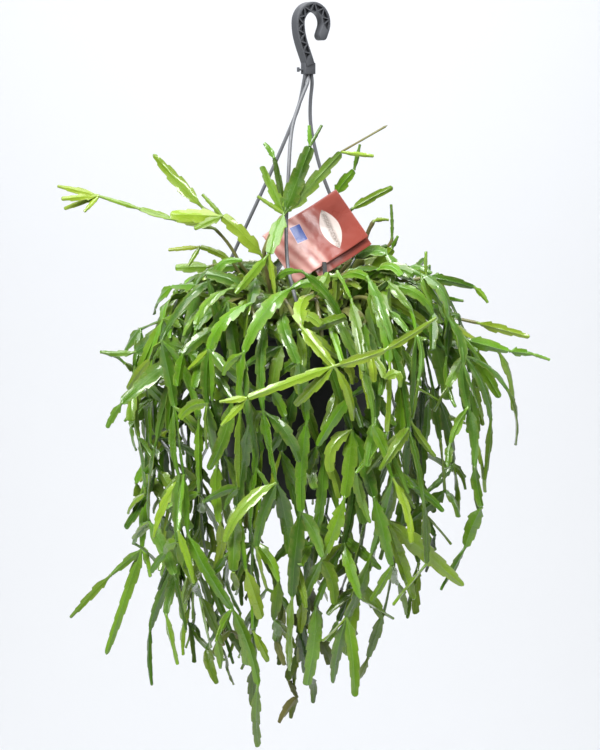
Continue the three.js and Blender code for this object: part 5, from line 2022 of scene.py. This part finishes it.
def stem_material():
    """Waxy green skin, yellow-green where it is young and brown where it is woody, with a greyish bloom that
    also stands in for a painted sheen, and darkened by a random tone and by painted shade.
    """
    material, nodes, shader = new_material("stem_skin")
    young, wood, tint, dark_and_shade = nodes.attribute("grow")
    across, areole, _, _ = nodes.attribute("edge")
    fine, patches = nodes.grain(900, 45)
    deep = nodes.plus(nodes.times(tint, 0.6), nodes.times(patches, 0.5))
    green = nodes.tones(nodes.maths("SUBTRACT", deep, 0.05, clamped=True), GREENS)
    fresh = nodes.tones(nodes.remap(tint, 0, 1), YOUNG_GREENS)
    # Greyish bloom on some blades, which is also a painted sheen
    bloom_and_sheen = nodes.times(nodes.remap(tint, 0.3, 0.42), nodes.remap(tint, 0.68, 0.56))
    green = nodes.blend(nodes.times(bloom_and_sheen, 0.2), green, colour(BLOOM_AND_SHEEN))
    skin = nodes.blend(young, green, fresh)
    rib = nodes.times(nodes.remap(across, 0.09, 0.0), 0.22)
    skin = nodes.blend(rib, skin, colour(RIB_GREEN))
    rim = nodes.times(nodes.remap(across, 0.93, 1.0), 0.3)
    skin = nodes.blend(rim, skin, colour(EDGE_GREEN))
    # Darkened by each blade's random tone and by painted shade deep in the mass and on the shaded stems
    skin = nodes.blend(nodes.times(dark_and_shade, 0.92), skin, colour(DARK_AND_SHADE_GREEN))
    bark = nodes.tones(patches, BARKS)
    skin = nodes.blend(wood, skin, bark)
    skin = nodes.blend(nodes.times(areole, 0.2), skin, colour(NOTCH_BROWN))
    speck = nodes.remap(fine, 0.35, 0.65, 0.86, 1.1)
    skin = nodes.blend(1.0, skin, nodes.tones(speck, ("000000", "ffffff")), "MULTIPLY")
    nodes.feed(shader["Base Color"], skin)
    rough = nodes.plus(nodes.remap(patches, 0.3, 0.7, 0.24, 0.36), nodes.times(wood, 0.3))
    nodes.feed(shader["Roughness"], rough)
    shader["Specular IOR Level"].default_value = 0.3
    nodes.feed(shader["Coat Weight"], nodes.remap(dark_and_shade, 0.15, 0.6, 0.8, 0.12))
    shader["Coat Roughness"].default_value = 0.1
    nodes.feed(shader["Normal"], nodes.bump(nodes.plus(fine, patches), 0.0004))
    return material


def plain_material(name, code, roughness):
    """Moulded plastic with a fine grain."""
    material, nodes, shader = new_material(name)
    fine, patches = nodes.grain(1200, 60)
    base = colour(code)
    pale = tuple(min(1, part * 1.5) for part in base[:3]) + (1.0,)
    nodes.feed(shader["Base Color"], nodes.blend(nodes.times(patches, 0.5), base, pale))
    nodes.feed(shader["Roughness"], nodes.remap(patches, 0.3, 0.7, roughness - 0.06, roughness + 0.08))
    nodes.feed(shader["Normal"], nodes.bump(fine, 0.0001))
    return material


def turned_place(nodes, x, z, start, end):
    """Places on the label measured from the middle of a line on it, along and across that line."""
    turn = math.atan2(end[1] - start[1], end[0] - start[0])
    dx = nodes.minus(x, (start[0] + end[0]) / 2)
    dz = nodes.minus(z, (start[1] + end[1]) / 2)
    c, s = math.cos(turn), math.sin(turn)
    along = nodes.plus(nodes.times(dx, c), nodes.times(dz, s))
    across = nodes.minus(nodes.times(dz, c), nodes.times(dx, s))
    return along, across


def label_material():
    """Glossy dull-red card with two plain printed marks, a pale pointed oval and a blue patch, with painted
    glare in pale bands over its left part and a painted shade streak down the oval.
    """
    material, nodes, shader = new_material("label_card")
    uv = nodes.add("UVMap", uv_map="sheet").outputs[0]
    parts = nodes.add("SeparateXYZ")
    nodes.feed(parts.inputs[0], uv)
    x = nodes.times(parts.outputs[0], SHEET_SCALE)
    z = nodes.times(parts.outputs[1], SHEET_SCALE)
    fine, cloudy = nodes.grain(700, 30)
    red = nodes.tones(cloudy, CARD_REDS)
    # Painted glare: pale diagonal bands over the card's left part, where light reflects off its waves
    slant = nodes.plus(nodes.times(x, 0.62), nodes.times(z, 0.16))
    glare_bands = nodes.remap(nodes.maths("SINE", slant), -1, 1, 0.25, 0.85)
    painted_glare = nodes.times(glare_bands, nodes.remap(x, -1.0, -6.0))
    red = nodes.blend(painted_glare, red, colour(CARD_GLARE))
    end, tip = label_spot(*OVAL_TOP), label_spot(*OVAL_TIP)
    oval_p, oval_q = turned_place(nodes, x, z, end, tip)
    half = math.dist(end, tip) / 2
    squared = nodes.maths("POWER", nodes.maths("DIVIDE", oval_p, half), 2.0)
    limit = nodes.times(nodes.minus(1.0, squared), OVAL_HALF)
    inside = nodes.remap(nodes.minus(limit, nodes.size_of(oval_q)), -0.2, 0.2)
    # Painted shade: a grey streak along the oval's middle, where the card's wave is shaded
    fold_shade = nodes.remap(nodes.size_of(oval_q), 1.2, 3.8, 0.9, 0.0)
    grey = nodes.times(fold_shade, nodes.remap(fine, 0.2, 0.6))
    pale = nodes.tones(grey, OVAL_AND_SHADE_TONES)
    skin = nodes.blend(inside, red, pale)
    end, tip = label_spot(*PATCH_TOP), label_spot(*PATCH_FOOT)
    patch_p, patch_q = turned_place(nodes, x, z, end, tip)
    patch_q = nodes.maths("DIVIDE", nodes.size_of(patch_q), PATCH_NARROW)
    far = nodes.maths("MAXIMUM", nodes.size_of(patch_p), patch_q)
    half = math.dist(end, tip) / 2
    blue = nodes.tones(fine, PATCH_BLUES)
    skin = nodes.blend(nodes.remap(far, half + 0.6, half + 0.2), skin, colour(PATCH_RIM))
    skin = nodes.blend(nodes.remap(far, half, half - 0.4), skin, blue)
    nodes.feed(shader["Base Color"], skin)
    nodes.feed(shader["Roughness"], nodes.remap(cloudy, 0.3, 0.7, 0.24, 0.34))
    nodes.feed(shader["Normal"], nodes.bump(cloudy, 0.002))
    return material


def soil_material():
    """Dark peat with brown fibres and a few pale grains."""
    material, nodes, shader = new_material("peat")
    grains, clods = nodes.grain(480, 160)
    base = nodes.tones(clods, PEATS)
    nodes.feed(shader["Base Color"], nodes.blend(nodes.remap(grains, 0.68, 0.74), base, colour(PEAT_FIBRE)))
    nodes.feed(shader["Roughness"], nodes.remap(clods, 0.2, 0.8, 0.8, 0.98))
    nodes.feed(shader["Normal"], nodes.bump(nodes.plus(clods, grains), 0.002))
    return material


# Stage: pale sweep, soft lights and the camera


def make_stage():
    bm = bmesh.new()
    line = [bm.verts.new((-SWEEP_HALF, y, FLOOR_Z)) for y in (SWEEP_FRONT, SWEEP_BEND_AT)]
    for t in np.linspace(0.1, math.pi / 2, 14):
        y = SWEEP_BEND_AT + math.sin(t) * SWEEP_BEND
        z = FLOOR_Z + SWEEP_BEND - math.cos(t) * SWEEP_BEND
        line.append(bm.verts.new((-SWEEP_HALF, y, z)))
    line.append(bm.verts.new((-SWEEP_HALF, SWEEP_BEND_AT + SWEEP_BEND, SWEEP_TOP)))
    edges = [bm.edges.new(pair) for pair in zip(line, line[1:])]
    made = bmesh.ops.extrude_edge_only(bm, edges=edges)
    moved = [item for item in made["geom"] if isinstance(item, bmesh.types.BMVert)]
    bmesh.ops.translate(bm, vec=(2 * SWEEP_HALF, 0, 0), verts=moved)
    bmesh.ops.recalc_face_normals(bm, faces=bm.faces)
    mesh = mesh_of(bm, "sweep")
    mesh.shade_smooth()
    material, nodes, shader = new_material("sweep_paper")
    shader["Base Color"].default_value = colour("e3e5e8")
    shader["Roughness"].default_value = 0.9
    shader["Emission Color"].default_value = colour("f4f5f7")
    shader["Emission Strength"].default_value = 0.08
    mesh.materials.append(material)
    sweep = in_scene("sweep", mesh)


def make_light(name, place, aim, size, power):
    data = bpy.data.lights.new(name, "AREA")
    data.shape = "DISK"
    data.size = size
    data.energy = power
    light = in_scene(name, data)
    light.location = place
    light.rotation_euler = (Vector(aim) - Vector(place)).to_track_quat("-Z", "Y").to_euler()


def make_lights():
    for name, settings in LIGHTS.items():
        make_light(name, *settings)
    world = bpy.data.worlds.new("room")
    bpy.context.scene.world = world
    world.use_nodes = True
    background = world.node_tree.nodes["Background"]
    background.inputs["Color"].default_value = ROOM_LIGHT
    background.inputs["Strength"].default_value = ROOM_STRENGTH


def make_camera():
    data = bpy.data.cameras.new("camera")
    data.lens = VIEW_LENS
    data.sensor_width = VIEW_SENSOR
    data.clip_start = 0.05
    camera = in_scene("camera", data)
    camera.location = (VIEW_X * MM, -VIEW_DISTANCE * MM, VIEW_Z * MM)
    camera.rotation_euler = (math.pi / 2 - VIEW_PITCH, 0, 0)
    bpy.context.scene.camera = camera


# Putting it together


def make_stems():
    material = stem_material()
    space = Space()
    stems = grow_plant(space)
    more = grow_more(stems, space)
    draw = Draws(LOOK_SEED)
    for stem in stems:
        stems_piece(stem.name + "_fine", [stem], draw, material, stem.name)
    for group in range(MORE_PIECES):
        stems_piece(f"stems_between_{group + 1}", more[group::MORE_PIECES], draw, material)


make_camera()
make_stage()
make_lights()
make_stems()
make_pot(plain_material("pot_plastic", "121312", 0.5))
make_soil(soil_material())
grey = plain_material("hanger_plastic", "4a4c50", 0.4)
make_hook(grey)
make_rods(plain_material("rod_plastic", "66686c", 0.38))
make_label(label_material())
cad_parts["label_stake"].material_slots[0].material = plain_material("stake_plastic", "1c1d1c", 0.4)
bpy.context.scene.view_settings.view_transform = "Standard"
